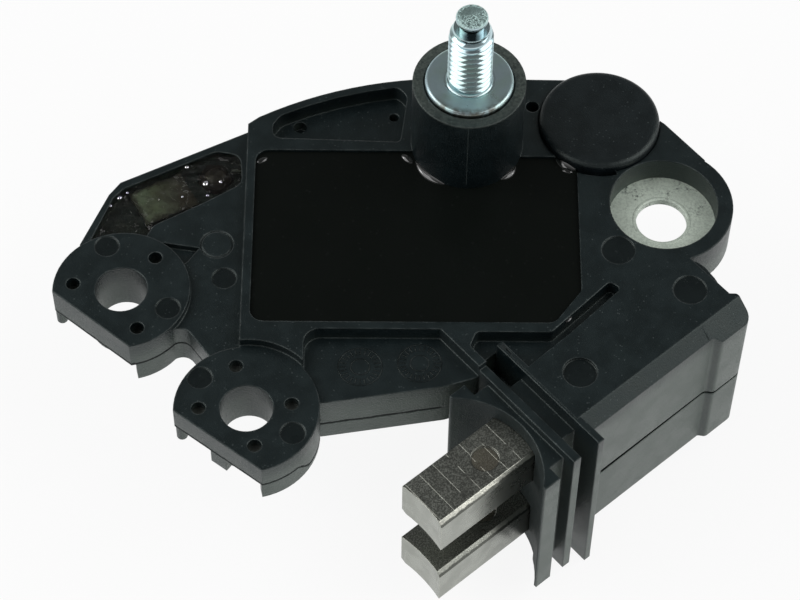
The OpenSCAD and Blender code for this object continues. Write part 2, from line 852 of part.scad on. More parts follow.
module stud_shape() {
    thread_low = boss_top + 0.6;
    translate([stud_x, stud_y, 0])
        rotate_extrude()
            polygon([
                [0, stud_tail_z - 0.7], [2.6, stud_tail_z - 0.7], [2.6, stud_tail_z],
                [rivet_r, stud_tail_z], [rivet_r, stud_tail_z + sheet_t],
                [stud_r, stud_tail_z + sheet_t],
                [stud_r, 8.5], [3, 9], [3, 14], [stud_r, 14.5], [stud_r, boss_top - 0.7],
                [flange_r, boss_top - 0.7], [flange_r, thread_low - 0.25],
                [flange_r - 0.25, thread_low], [stud_r, thread_low], [stud_r, thread_top],
                [stud_r - 0.15, thread_top + 1.3], [stud_r - 0.5, thread_top + 2.1],
                [tip_r - 0.3, thread_top + 2.3], [tip_r - 0.3, thread_top + 3.1],
                [tip_r, thread_top + 3.4], [tip_r, thread_top + 3.8],
                [tip_r - 0.2, thread_top + 4], [0, thread_top + 4]
            ]);
}

module terminal_stud() {
    color("#b9c6c6")
        stud_shape();
}

// Capacitor and cover

module capacitor_leads() {
    for (side = [-1.5, 1.5])
        translate([cover_x, cover_y, 2.8])
            rotate([0, 0, 225])
                translate([3, side, 0])
                    rotate([0, 90, 0])
                        cylinder(r = lead_r, h = 5, $fn = 24);
}

module suppression_capacitor() {
    color("#c9b25a") {
        translate([cover_x, cover_y, floor_t])
            rotate([0, 0, 225])
                translate([-3, -3.6, 0])
                    cube([6.1, 7.2, 4]);
        capacitor_leads();
    }
}

module round_cover() {
    color("#1d2225")
        translate([cover_x, cover_y, 0])
            rotate_extrude()
                polygon([
                    [0, cover_seat - 0.9], [pocket_r - 0.1, cover_seat - 0.9],
                    [pocket_r - 0.1, cover_seat], [cover_r, cover_seat],
                    [cover_r, cover_top - 0.6], [cover_r - 0.6, cover_top], [0, cover_top]
                ]);
}

// Gel pocket

module pocket_board() {
    color("#b9c2a4")
        translate([board_at[0], board_at[1], gel_floor])
            rotate([0, 0, 28])
                translate([-board_l / 2, -board_w / 2, 0])
                    cube([board_l, board_w, board_t]);
}

module pocket_bead() {
    color("#2b2320")
        translate([bead_at[0], bead_at[1], gel_floor])
            rotate_extrude()
                polygon([[0, 0], [bead_r, 0], [bead_r * 0.92, 0.6], [bead_r * 0.6, 1.1], [0, 1.3]]);
}

module pocket_lead() {
    color("#c9c7bf")
        translate([bead_at[0] + bead_r, well_y1 - 1.5, lead_z])
            rotate([0, 90, 0])
                cylinder(r = lead_r, h = well_x0 + 2 - bead_at[0] - bead_r, $fn = 24);
}

module pocket_gel() {
    color("#6f6d55")
        difference() {
            prism(gel_outline, gel_floor, gel_top);
            lug_plate(left_lug, left_lug_r, left_turn, slab_bottom, left_lug_top);
            pocket_board();
            pocket_bead();
            pocket_lead();
        }
}

// Brushes

// Brush with its outer end hollowed for the slip ring
module brush(z) {
    w = brush_w / 2;
    h = brush_h / 2;
    section = [
        [-holder_off - w, z - h], [-holder_off + w - brush_bevel, z - h],
        [-holder_off + w, z - h + brush_bevel], [-holder_off + w, z + h],
        [-holder_off - w + brush_bevel, z + h], [-holder_off - w, z + h - brush_bevel]
    ];
    sag = contact_r - sqrt(pow(contact_r, 2) - pow(w, 2));
    in_holder()
        difference() {
            run(section, brush_u, brush_rear_u);
            translate([brush_u + sag - contact_r, -holder_off, z - h - e])
                cylinder(r = contact_r, h = brush_h + 2 * e, $fn = 200);
            translate([brush_rear_u - pigtail_bed, -holder_off, z])
                rotate([0, 90, 0])
                    cylinder(r = pigtail_hole_r, h = pigtail_bed + e, $fn = 32);
        }
}

module brush_upper() {
    color("#6c706c")
        brush(brush_z);
}

module brush_lower() {
    color("#6c706c")
        brush(brush_lower_z);
}

// Wire ring of the coil at a turn angle, sides points round the wire
function coil_ring(a, x, sides) =
    [for (j = [0 : sides - 1])
        let(b = 360 * j / sides, r = spring_r + spring_wire * cos(b))
        [x + spring_wire * sin(b), r * cos(a), r * sin(a)]];

// Coil from the brush's rear face to the rear wall
module spring(z) {
    sides = 6;
    per_turn = 16;
    rings = spring_turns * per_turn;
    x0 = brush_rear_u + spring_play + spring_wire;
    x1 = rear_wall_u - spring_play - spring_wire;
    points = [
        for (i = [0 : rings])
            each coil_ring(360 * i / per_turn, x0 + (x1 - x0) * i / rings, sides)
    ];
    walls = [
        for (i = [0 : rings - 1])
            for (j = [0 : sides - 1])
                let(k = (j + 1) % sides)
                [i * sides + j, i * sides + k, (i + 1) * sides + k, (i + 1) * sides + j]
    ];
    ends = [
        [for (j = [sides - 1 : -1 : 0]) j],
        [for (j = [0 : sides - 1]) rings * sides + j]
    ];
    in_holder()
        translate([0, -holder_off, z])
            polyhedron(points = points, faces = concat(walls, ends), convexity = 10);
}

module spring_upper() {
    color("#b7bbbb")
        spring(brush_z);
}

module spring_lower() {
    color("#b7bbbb")
        spring(brush_lower_z);
}

module pigtail(z) {
    in_holder()
        translate([brush_rear_u - pigtail_bed + 0.2, -holder_off, z])
            rotate([0, 90, 0])
                cylinder(r = pigtail_r, h = tab_u - brush_rear_u + pigtail_bed - 0.2, $fn = 32);
}

module pigtail_upper() {
    color("#b4744a")
        pigtail(brush_z);
}

module pigtail_lower() {
    color("#b4744a")
        pigtail(brush_lower_z);
}

// Nodes

housing();
heat_sink_plate();
ceramic_substrate();
regulator_chip();
power_transistor();
flyback_diode();
bond_wires();
potting_compound();
left_lug_terminal();
front_lug_terminal();
ring_terminal();
terminal_stud();
stud_busbar();
suppression_capacitor();
round_cover();
pocket_board();
pocket_bead();
pocket_lead();
pocket_gel();
brush_upper();
brush_lower();
spring_upper();
spring_lower();
pigtail_upper();
pigtail_lower();
brush_terminal_upper();
brush_terminal_lower();
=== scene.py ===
"""Looks of an alternator voltage regulator with its brush holder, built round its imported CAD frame.

Metres, in the CAD frame: the origin is on the left lug's bore in the plane of the screw seats,
X runs along the potting well, Y away from the brushes and Z out of the well.
"""

import math

import bmesh
import bpy
from bpy.props import FloatProperty, FloatVectorProperty, IntProperty, PointerProperty
from mathutils import Matrix, Vector


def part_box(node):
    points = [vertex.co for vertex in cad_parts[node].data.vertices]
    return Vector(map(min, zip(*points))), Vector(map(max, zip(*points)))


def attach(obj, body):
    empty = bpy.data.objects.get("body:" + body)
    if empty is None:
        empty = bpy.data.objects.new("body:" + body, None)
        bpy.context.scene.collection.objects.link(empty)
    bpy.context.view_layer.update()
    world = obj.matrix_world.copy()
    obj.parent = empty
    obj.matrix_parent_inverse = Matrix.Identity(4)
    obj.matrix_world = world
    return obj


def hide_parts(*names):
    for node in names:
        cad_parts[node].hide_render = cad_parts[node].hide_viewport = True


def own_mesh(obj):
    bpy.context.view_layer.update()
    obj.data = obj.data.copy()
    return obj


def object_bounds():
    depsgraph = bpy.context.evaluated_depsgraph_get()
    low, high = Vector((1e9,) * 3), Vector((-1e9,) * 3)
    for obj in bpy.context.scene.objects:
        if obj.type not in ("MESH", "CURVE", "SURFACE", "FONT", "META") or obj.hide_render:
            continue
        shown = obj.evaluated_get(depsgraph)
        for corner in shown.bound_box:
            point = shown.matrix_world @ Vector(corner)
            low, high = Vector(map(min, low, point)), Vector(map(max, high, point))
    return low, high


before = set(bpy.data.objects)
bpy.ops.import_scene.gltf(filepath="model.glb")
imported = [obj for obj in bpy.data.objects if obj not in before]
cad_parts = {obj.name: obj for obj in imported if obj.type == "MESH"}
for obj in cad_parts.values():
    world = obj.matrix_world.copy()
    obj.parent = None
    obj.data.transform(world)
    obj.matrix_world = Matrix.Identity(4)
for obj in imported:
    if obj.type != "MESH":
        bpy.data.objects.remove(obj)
cad_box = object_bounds()

bl_info = {
    "name": "Alternator voltage regulator",
    "version": (1, 0, 0),
    "blender": (4, 5, 0),
    "location": "3D View > Sidebar > Regulator",
    "description": "Builds the visible pieces and finishes of an alternator voltage regulator",
    "category": "Object",
}

# In metres: a millimetre, and how near two points have to be to become one

MM = 0.001
MERGE = 1e-6

# Places and sizes shared with the CAD frame, in millimetres

STUD_AT = (37.8, 20.0)
COVER_AT = (52.8, 22.7)
BIG_LUG_AT = (59.6, 11.5)
RING_HOLE_R = 2.86
BORES = ((0, 0), (14.1, -14.7))
BORE_R = 2.85
BOSS_TOP = 18.1
BOSS_R = 6.25
COVER_BOSS_R = 6.9
THREAD_R = 2.45
THREAD_LOW = 18.7
THREAD_TOP = 25.5
SHOULDER_HIGH = 2.1
TIP_TOP = 29.5
TRAY_FLOOR = 5.4
RESIN_TOP = 6.95
BEAD_AT = (9.5, 16.4)
BOARD_AT = (3.9, 13.4)
BOARD_HALF = (3.2, 2.4)
BOARD_TURN = 28
GEL_CELL = 0.45

# The brush holder's own frame is turned about Z. In it U runs along the brushes and V across them.

HOLDER_TURN = math.radians(41)
HOLDER_OFF = 40.15
SIDE_V = -46.1
SIDE_FACING = (0.656, -0.755, 0.0)
BEVEL_FACING = (0.464, -0.534, 0.707)
BRUSH_HEIGHTS = {"upper": 0.5, "lower": -10.5}
BRUSH_REAR = 28.5
BRUSH_SIDE = -43.3
PLUG_AT = 17.4
PLUG_R = 1.57
PLUG_SUNK = 0.25
SCORE_STEP = 1.9
REAR_WALL = 45.2
TAB_AT = 47.2
HOLLOW_AT = (12.6, -40.45)
HOLLOW_R = 9.5
SEAM_START = 28
SEAM_LEVEL = -5

# The mould's parting line drops from one level to another past the front lug, and ends at the nose

FRONT_LUG_END = (19.5, 21.0)
PARTING_LEVELS = (3.45, 1.45)
NOSE_START = 35.0

# Dials of the mould: places, inner and outer radii of the rings, and their ticks

DIALS = ((26.1, -8.9), (32.5, -8.4))
DIAL_RINGS = ((2.3, 2.42), (0.95, 1.07))
TICKS = 24
TICK_AT = 1.85
TICK_SIZE = (0.62, 0.14)

# Bubbles in the gel and smooth marks of the ejectors: X, Y and radius

BUBBLES = (
    (6.3, 17.3, 0.22), (8.5, 15.0, 0.34), (10.2, 15.3, 0.2), (8.8, 13.4, 0.17), (-1.0, 13.0, 0.26),
    (-0.2, 13.7, 0.16), (-2.0, 11.9, 0.2), (6.0, 13.2, 0.12), (3.4, 12.8, 0.1),
)
MARKS = (
    (-1.9, 5.7, 1.35), (5.2, -2.4, 1.35), (9.0, -10.9, 1.35), (19.1, -17.7, 1.35), (11.1, 2.1, 1.35),
    (26.5, 23.8, 1.65), (49.6, -10.6, 1.85), (61.9, 0.1, 1.85), (54.3, 5.3, 1.85),
)

# Where the resin climbs a post: centre, radius and two angles, and its drops: X, Y, radius and turn

CLIMBS = (
    (STUD_AT, BOSS_R, 204, 246),
    (STUD_AT, BOSS_R, 307, 330),
    (COVER_AT, COVER_BOSS_R, 224, 246),
)
DROPS = ((31.1, 17.85, 0.6, -45), (14.8, 17.5, 0.5, 30), (49.0, 16.3, 0.45, -20), (48.6, -3.6, 0.35, 50))

# Studio in metres: name, place, size and power of each lamp, grey levels of the dome, and the camera

LAMPS = (
    ("left_lamp", (-0.56, -0.05, 0.55), 0.8, 3.4),
    ("right_lamp", (0.62, -0.05, 0.55), 0.75, 3.0),
    ("left_spot", (-0.6, 0.12, 0.51), 0.16, 0.6),
    ("right_spot", (0.64, 0.12, 0.54), 0.1, 0.18),
)
LAMPS_TOWARDS = (0.03, 0, 0)
DOME_LEVELS = ((0.12, 0.62), (0.34, 0.26), (0.8, 0.16))
CAMERA_AT = (0.0294, -0.17087, 0.26182)
CAMERA_FORWARD = (0.0029, 0.554, -0.8325)
CAMERA_RIGHT = (1.0, 0.0038, 0.006)
CAMERA_LENS = 126.9


def linear(red, green, blue):
    """Linear colour of three sRGB bytes."""
    shares = [byte / 255 for byte in (red, green, blue)]
    return tuple(s / 12.92 if s <= 0.04045 else ((s + 0.055) / 1.055) ** 2.4 for s in shares) + (1.0,)


def grey(level):
    """A linear grey."""
    return (level, level, level, 1.0)


def size_setting(name, description, default):
    """A length that a user can change."""
    return FloatProperty(
        name=name, description=description, default=default, unit="LENGTH", subtype="DISTANCE"
    )


def colour_setting(name, description, default):
    """A colour that a user can change."""
    return FloatVectorProperty(
        name=name, description=description, default=default, size=4, min=0, max=1, subtype="COLOR"
    )


class RegulatorSizes(bpy.types.PropertyGroup):
    """Sizes of the details that Blender adds to the CAD solids"""

    edge_radius: size_setting("Edge radius", "Rounding of the moulded edges", 0.00026)
    thread_pitch: size_setting("Thread pitch", "Pitch of the stud's M5 thread", 0.0008)
    thread_depth: size_setting("Thread depth", "Depth of the stud's thread", 0.00046)
    meniscus: size_setting("Meniscus", "How far the resin climbs at its edges", 0.0005)
    gel_waves: size_setting("Gel waves", "Height of the waves of the clear gel", 0.00016)
    relief: size_setting("Relief", "Height of the marks left by the mould", 0.00005)
    spring_turns: IntProperty(
        name="Spring turns", description="Turns of each brush spring", default=8, min=4, max=12
    )


class RegulatorColours(bpy.types.PropertyGroup):
    """Colours of the finishes"""

    plastic: colour_setting("Plastic", "Black moulded plastic", linear(10, 20, 23))
    # Lighter edges, laid on by wear and as a painted highlight
    plastic_edge: colour_setting("Plastic edges", "Lighter edges of the plastic", linear(84, 90, 90))
    cover: colour_setting("Cover", "Black plastic of the round cover", linear(9, 16, 20))
    resin: colour_setting("Resin", "Black potting resin", linear(13, 16, 14))
    gel: colour_setting("Gel", "Clear gel", (0.68, 0.71, 0.62, 1.0))
    zinc: colour_setting("Zinc", "Bluish zinc plating", linear(204, 225, 232))
    tin: colour_setting("Tin", "Dull tinned sheet", linear(222, 234, 220))
    carbon: colour_setting("Carbon", "Copper graphite of the brushes", linear(154, 157, 149))
    aluminium: colour_setting("Aluminium", "Heat sink plate", linear(192, 195, 197))
    copper: colour_setting("Copper", "Braided leads", linear(196, 122, 84))
    brass: colour_setting("Brass", "Brass conductors", linear(204, 172, 112))
    steel: colour_setting("Steel", "Spring wire", linear(196, 199, 200))
    ceramic: colour_setting("Ceramic", "Ceramic circuit board", linear(226, 222, 208))
    board: colour_setting("Board", "Small board below the gel", linear(112, 126, 105))


# Mesh helpers


def sizes():
    """The size settings."""
    return bpy.context.scene.regulator_sizes


def colours():
    """The colour settings."""
    return bpy.context.scene.regulator_colours


def merged_copy(node):
    """A bmesh of a CAD node with its loose triangles joined."""
    mesh = bmesh.new()
    mesh.from_mesh(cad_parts[node].data)
    bmesh.ops.remove_doubles(mesh, verts=mesh.verts, dist=MERGE)
    return mesh


def top_faces(mesh, top):
    """Level faces at the top of a mesh."""
    level = [face for face in mesh.faces if face.normal.z > 0.99]
    return [face for face in level if face.calc_center_median().z > top - 0.01 * MM]


def round_edges(mesh, width, degrees):
    """Bevels the edges of a mesh whose two faces meet at more than an angle."""
    limit = math.radians(degrees)
    sharp = [e for e in mesh.edges if len(e.link_faces) == 2 and e.calc_face_angle() > limit]
    bmesh.ops.bevel(
        mesh,
        geom=sharp,
        offset=width,
        offset_type="OFFSET",
        affect="EDGES",
        segments=2,
        profile=0.5,
        material=-1,
        clamp_overlap=True,
    )


def metres(*lengths):
    """A vector in metres from lengths in millimetres."""
    return Vector([length * MM for length in lengths])


def slice_mesh(mesh, point, normal):
    """Cuts the faces of a mesh along a plane."""
    everything = mesh.verts[:] + mesh.edges[:] + mesh.faces[:]
    bmesh.ops.bisect_plane(mesh, geom=everything, dist=MERGE, plane_co=point, plane_no=normal)


def spin(mesh, geom, angle, steps, centre=(0, 0), axis=(0, 0, 1), advance=0.0, **options):
    """Turns geometry round an axis in steps, and moves it along the axis by an advance in millimetres."""
    bmesh.ops.spin(
        mesh,
        geom=geom,
        cent=metres(*centre, 0),
        axis=axis,
        dvec=Vector(axis) * (advance / steps * MM),
        angle=angle,
        steps=steps,
        **options,
    )


def add_chain(mesh, points, centre):
    """Adds a line through radius and height pairs, in millimetres, beside an upright axis."""
    x, y = centre
    chain = [mesh.verts.new(metres(x + radius, y, z)) for radius, z in points]
    return chain + [mesh.edges.new(pair) for pair in zip(chain, chain[1:])]


def spin_outline(mesh, points, centre, steps=96):
    """Turns an outline of radius and height pairs, in millimetres, round an upright axis."""
    spin(mesh, add_chain(mesh, points, centre), math.tau, steps, centre, use_merge=True)


def add_ball(mesh, at, radius, stretch, turn=0.0, detail=3):
    """Adds a stretched ball at a place in millimetres, turned about Z, and gives its vertices."""
    ball = bmesh.ops.create_icosphere(mesh, subdivisions=detail, radius=radius * MM)["verts"]
    place = Matrix.Translation(metres(*at)) @ Matrix.Rotation(turn, 4, "Z")
    bmesh.ops.transform(mesh, matrix=place @ Matrix.Diagonal((*stretch, 1)), verts=ball)
    return ball


def with_neighbours(verts):
    """Some vertices with the edges and faces that they carry."""
    edges = dict.fromkeys(edge for vert in verts for edge in vert.link_edges)
    faces = dict.fromkeys(face for vert in verts for face in vert.link_faces)
    return [*verts, *edges, *faces]


def into_holder(mesh, height):
    """Moves a mesh made along X to its place in the holder, at a height in millimetres."""
    place = Matrix.Rotation(HOLDER_TURN, 4, "Z") @ Matrix.Translation(metres(0, -HOLDER_OFF, height))
    bmesh.ops.transform(mesh, matrix=place, verts=mesh.verts)


def holder_point(u, v, z):
    """A point of the holder's own frame, in millimetres, as a point of the CAD frame in metres."""
    return Matrix.Rotation(HOLDER_TURN, 4, "Z") @ metres(u, v, z)


def make_piece(mesh, name, body, finish, replaced=(), smooth=35):
    """Turns a bmesh into a piece that rides on a body and has a finish."""
    bmesh.ops.remove_doubles(mesh, verts=mesh.verts, dist=MERGE / 4)
    bmesh.ops.recalc_face_normals(mesh, faces=mesh.faces)
    data = bpy.data.meshes.new(name)
    mesh.to_mesh(data)
    mesh.free()
    if "custom_normal" in data.attributes:
        data.attributes.remove(data.attributes["custom_normal"])
    piece = bpy.data.objects.new(name, data)
    bpy.context.scene.collection.objects.link(piece)
    data.polygons.foreach_set("use_smooth", [True] * len(data.polygons))
    data.set_sharp_from_angle(angle=math.radians(smooth))
    data.materials.append(finish)
    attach(piece, body)
    even = piece.modifiers.new("even_shading", "WEIGHTED_NORMAL")
    even.mode = "FACE_AREA"
    even.weight = 100
    even.keep_sharp = True
    if replaced:
        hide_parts(*replaced)
    return piece


def dress_node(node, finish):
    """Gives a CAD node a finish."""
    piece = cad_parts[node]
    piece.data.materials.clear()
    piece.data.materials.append(finish)


# Shader helpers


class Value:
    """An output in a shader tree that can be reckoned with. Each step adds a node."""

    def __init__(self, tree, socket):
        self.tree = tree
        self.socket = socket

    def __getitem__(self, axis):
        return made_value(self.tree, "SeparateXYZ", axis, {0: self})

    def __add__(self, other):
        return self.maths("ADD", other)

    def __sub__(self, other):
        return self.maths("SUBTRACT", other)

    def __rsub__(self, number):
        return self.maths("MULTIPLY_ADD", -1.0, number)

    def __mul__(self, other):
        return self.maths("MULTIPLY", other)

    def __truediv__(self, other):
        return self.maths("DIVIDE", other)

    def __abs__(self):
        return self.maths("ABSOLUTE")

    def maths(self, operation, *others):
        """Result of a Math node."""
        return made_value(self.tree, "Math", 0, dict(enumerate((self, *others))), operation=operation)

    def largest(self, *others):
        """The largest of some values."""
        result = self
        for other in others:
            result = result.maths("MAXIMUM", other)
        return result

    def ranged(self, low, high, to_low=0.0, to_high=1.0):
        """This value taken smoothly from one range to another."""
        inputs = {"Value": self, "From Min": low, "From Max": high, "To Min": to_low, "To Max": to_high}
        return made_value(self.tree, "MapRange", 0, inputs, interpolation_type="SMOOTHSTEP")

    def blend(self, first, second):
        """Colour between two colours, with this value as the second one's share."""
        made = add_node(self.tree, "Mix", data_type="RGBA", blend_type="MIX")
        for place, value in ((0, self), (6, first), (7, second)):
            plug(made.inputs[place], value)
        return Value(self.tree, made.outputs[2])

    def bump(self, strength, distance, normal=None):
        """Normal of a Bump node with this height. The distance is in millimetres."""
        inputs = {"Strength": strength, "Distance": distance * MM, "Height": self}
        if normal:
            inputs["Normal"] = normal
        return made_value(self.tree, "Bump", 0, inputs)

    def noise(self, scale, detail=3.0, roughness=0.55):
        """Value of a Noise Texture at this place."""
        inputs = {"Vector": self, "Scale": scale, "Detail": detail, "Roughness": roughness}
        return made_value(self.tree, "TexNoise", 0, inputs)

    def along(self, direction):
        """Dot product of this vector and a direction."""
        inputs = {0: self, 1: direction}
        return made_value(self.tree, "VectorMath", "Value", inputs, operation="DOT_PRODUCT")

    def away(self):
        """Distance of this place from the Z axis."""
        flat = made_value(self.tree, "VectorMath", 0, {0: self, 1: (1, 1, 0)}, operation="MULTIPLY")
        return made_value(self.tree, "VectorMath", "Value", {0: flat}, operation="LENGTH")


def plug(socket, value):
    """Links a value to a socket, or sets the socket's plain value."""
    if isinstance(value, Value):
        value.tree.links.new(value.socket, socket)
    else:
        socket.default_value = value


def add_node(tree, kind, inputs=None, **settings):
    """Adds a shader node with its settings and inputs."""
    made = tree.nodes.new("ShaderNode" + kind)
    for name, setting in settings.items():
        setattr(made, name, setting)
    for place, value in (inputs or {}).items():
        plug(made.inputs[place], value)
    return made


def made_value(tree, kind, output, inputs=None, **settings):
    """One output of a new shader node."""
    return Value(tree, add_node(tree, kind, inputs, **settings).outputs[output])


def values_of(tree, node):
    """The outputs of a node by their names."""
    return {socket.name: Value(tree, socket) for socket in node.outputs}


def object_mm(tree, centre=(0, 0, 0), turn=0.0, stretch=(1, 1, 1)):
    """Object coordinates in millimetres, centred on a point and turned about Z."""
    turned = Matrix.Rotation(turn, 3, "Z") @ Matrix.Diagonal(Vector(stretch))
    inputs = {
        "Vector": made_value(tree, "TexCoord", "Object"),
        "Location": -(turned @ Vector(centre)),
        "Rotation": (0, 0, turn),
        "Scale": [share / MM for share in stretch],
    }
    return made_value(tree, "Mapping", 0, inputs, vector_type="POINT")


def new_finish(name, values):
    """A material, its tree and its shader, with plain values set on the shader."""
    made = bpy.data.materials.new(name)
    made.use_nodes = True
    tree = made.node_tree
    shader = tree.nodes["Principled BSDF"]
    for socket, value in values.items():
        shader.inputs[socket].default_value = value
    return made, tree, shader


def paint(shader, colour, roughness, normal=None):
    """Plugs in what varies over a finish."""
    plug(shader.inputs["Base Color"], colour)
    plug(shader.inputs["Roughness"], roughness)
    if normal:
        plug(shader.inputs["Normal"], normal)


def tinted(colour, factor):
    """A colour made lighter or darker."""
    return tuple(min(1.0, value * factor) for value in colour[:3]) + (1.0,)


def layered(colour, *layers):
    """A colour with layers over it, each a share and a colour."""
    for share, layer in layers:
        colour = share.blend(colour, layer)
    return colour


# Shared effects


def start_group(name, inputs, outputs):
    """Starts a shader node group, and gives its tree, what comes in and where its results go."""
    tree = bpy.data.node_groups.new(name, "ShaderNodeTree")
    for label, kind, default in inputs:
        socket = tree.interface.new_socket(label, in_out="INPUT", socket_type="NodeSocket" + kind)
        if default is not None:
            socket.default_value = default
    for label, kind in outputs:
        tree.interface.new_socket(label, in_out="OUTPUT", socket_type="NodeSocket" + kind)
    given = values_of(tree, tree.nodes.new("NodeGroupInput"))
    return tree, given, tree.nodes.new("NodeGroupOutput").inputs


def build_rounded_edges():
    """Rounded normal along the edges, and a mask of the edges themselves."""
    tree, given, result = start_group(
        "rounded_edges", [("Radius", "Float", 0.0002)], [("Normal", "Vector"), ("Edge", "Float")]
    )
    soft = made_value(tree, "Bevel", 0, {"Radius": given["Radius"]}, samples=6)
    flat = made_value(tree, "NewGeometry", "Normal")
    plug(result["Normal"], soft)
    plug(result["Edge"], soft.along(flat).ranged(0.995, 0.75))
    return tree


def build_moulded_grain():
    """Fine grain of a moulded surface, with a few specks and broad patches."""
    tree, given, result = start_group(
        "moulded_grain",
        [("Vector", "Vector", None), ("Grain", "Float", 9.0), ("Specks", "Float", 3.0)],
        [("Height", "Float"), ("Specks", "Float"), ("Patches", "Float")],
    )
    where = given["Vector"]
    cells = made_value(tree, "TexVoronoi", "Distance", {"Vector": where, "Scale": given["Specks"]})
    plug(result["Height"], where.noise(given["Grain"], 2.0, 0.6))
    plug(result["Specks"], cells.ranged(0.24, 0.08) * where.noise(1.1, 1.0).ranged(0.52, 0.6))
    plug(result["Patches"], where.noise(0.35, 3.0, 0.6).ranged(0.3, 0.7))
    return tree


def build_scratches():
    """Fine scratches in two directions."""
    tree, given, result = start_group(
        "scratches",
        [("Vector", "Vector", None), ("Density", "Float", 6.0), ("Amount", "Float", 0.5)],
        [("Mask", "Float")],
    )
    strokes = []
    for turn, reach in ((0.5, 0.05), (2.1, 0.08)):
        inputs = {"Vector": given["Vector"], "Rotation": (0, 0, turn), "Scale": (1, reach, 1)}
        turned = made_value(tree, "Mapping", 0, inputs)
        strokes.append(turned.noise(given["Density"], 1.0).ranged(0.66, 0.74))
    plug(result["Mask"], strokes[0].largest(strokes[1]) * given["Amount"])
    return tree


def build_mark_line():
    """1 where a value is within a width of a place, which makes a ring or a level line."""
    tree, given, result = start_group(
        "mark_line",
        [("Value", "Float", 0.0), ("Place", "Float", 0.0), ("Width", "Float", 0.1)],
        [("Mask", "Float")],
    )
    share = abs(given["Value"] - given["Place"]) / given["Width"]
    plug(result["Mask"], share.ranged(1.0, 0.4))
    return tree


GROUPS = {
    "rounded_edges": build_rounded_edges,
    "moulded_grain": build_moulded_grain,
    "scratches": build_scratches,
    "mark_line": build_mark_line,
}


def effect(tree, name, **inputs):
    """Results of a shared effect, which is built on its first use."""
    group = bpy.data.node_groups.get(name) or GROUPS[name]()
    return values_of(tree, add_node(tree, "Group", inputs, node_tree=group))


def mark_line(value, place, width):
    """The mask of a line, in millimetres."""
    return effect(value.tree, "mark_line", Value=value, Place=place, Width=width)["Mask"]


# Finishes


def parting_line(where, walls):
    """The ragged line where the mould parts, on the lugs and on the front wall but not in the bores."""
    ragged = where.noise(0.6, 4.0, 0.7) * 0.5 + where["Z"]
    level = where["X"].ranged(*FRONT_LUG_END, *PARTING_LEVELS)
    line = mark_line(ragged, level, 0.26) * walls * where["X"].ranged(NOSE_START + 0.5, NOSE_START - 0.5)
    for bore in BORES:
        line = line * object_mm(where.tree, centre=(*bore, 0)).away().ranged(BORE_R + 0.15, BORE_R + 0.55)
    return line


def plastic_finish(name, colour, grain=5.5):
    """Black moulded plastic with fine grain, specks, a worn boss rim, soft edges lightened by wear and
    painted highlight, polished marks painted darker as a dark reflection, and painted light on the lower
    walls that face the right.
    """
    made, tree, shader = new_finish(
        name, {"Specular IOR Level": 0.54, "Specular Tint": (0.88, 1.0, 0.95, 1.0)}
    )
    where = object_mm(tree)
    height = where["Z"]
    edges = effect(tree, "rounded_edges", Radius=sizes().edge_radius)
    surface = effect(tree, "moulded_grain", Vector=where, Grain=grain, Specks=2.2)
    walls = abs(made_value(tree, "NewGeometry", "Normal")["Z"]).ranged(0.7, 0.3)
    polished = made_value(tree, "Attribute", "Fac", attribute_name="mark")
    seam = parting_line(where, walls)
    witness = mark_line(where["X"], STUD_AT[0] - 0.15, 0.07) * walls * height.ranged(7.4, 7.9)
    flecks = where.noise(3.4, 4.0, 0.75).ranged(0.32, 0.72, 0.15, 0.75)
    dust = height.ranged(BOSS_TOP - 0.35, BOSS_TOP - 0.05) * flecks * where["Y"].ranged(14.0, 19.0, 0.5, 1.0)
    aside = made_value(tree, "NewGeometry", "True Normal").along(SIDE_FACING)
    axis = object_mm(tree, centre=holder_point(*HOLLOW_AT, 0) / MM)
    hollow = walls * axis.away().ranged(HOLLOW_R + 0.2, HOLLOW_R + 0.1)
    # Painted light: lower walls, most of all those facing the right lamp, are painted lighter, and less of it
    # on the walls of the nose's hollow as painted shade.
    low = height.ranged(6.6, 3.0) * aside.ranged(0.6, 0.98, 0.22, 0.95)
    # Edges lightened in patches: partly wear, partly a painted highlight along the rounded edges.
    edge_wear_and_sheen = where.noise(0.7, 4.0, 0.7).ranged(0.42, 0.66, 0.1, 0.8)
    shade = layered(
        tinted(colour, 0.85),
        (surface["Patches"], tinted(colour, 1.25)),
        # painted light on the lower walls that face the right, less in the hollow
        (walls * (low - hollow * 0.2), linear(68, 78, 72)),
        # lighter edges: wear and painted highlight
        (edges["Edge"] * edge_wear_and_sheen, colours().plastic_edge),
        (surface["Specks"] * 0.4, linear(88, 96, 96)),
        # Faces with the mark attribute are painted darker: painted dark reflection on the polished ejector
        # marks, painted shade on the dials.
        (polished * 0.6, tinted(colour, 0.3)),
        (dust, linear(96, 104, 98)),
        (witness, linear(52, 60, 60)),
        (seam, tinted(colour, 0.3)),
    )
    matt = surface["Patches"].ranged(0.0, 1.0, 0.33, 0.4) + seam * 0.5 + hollow * 0.32 - polished * 0.09
    relief = surface["Height"] * (walls * 1.6 + (1.0 - polished)) - seam.largest(witness) - seam * 2.0
    paint(shader, shade, matt, relief.bump(0.8, 0.036, edges["Normal"]))
    return made


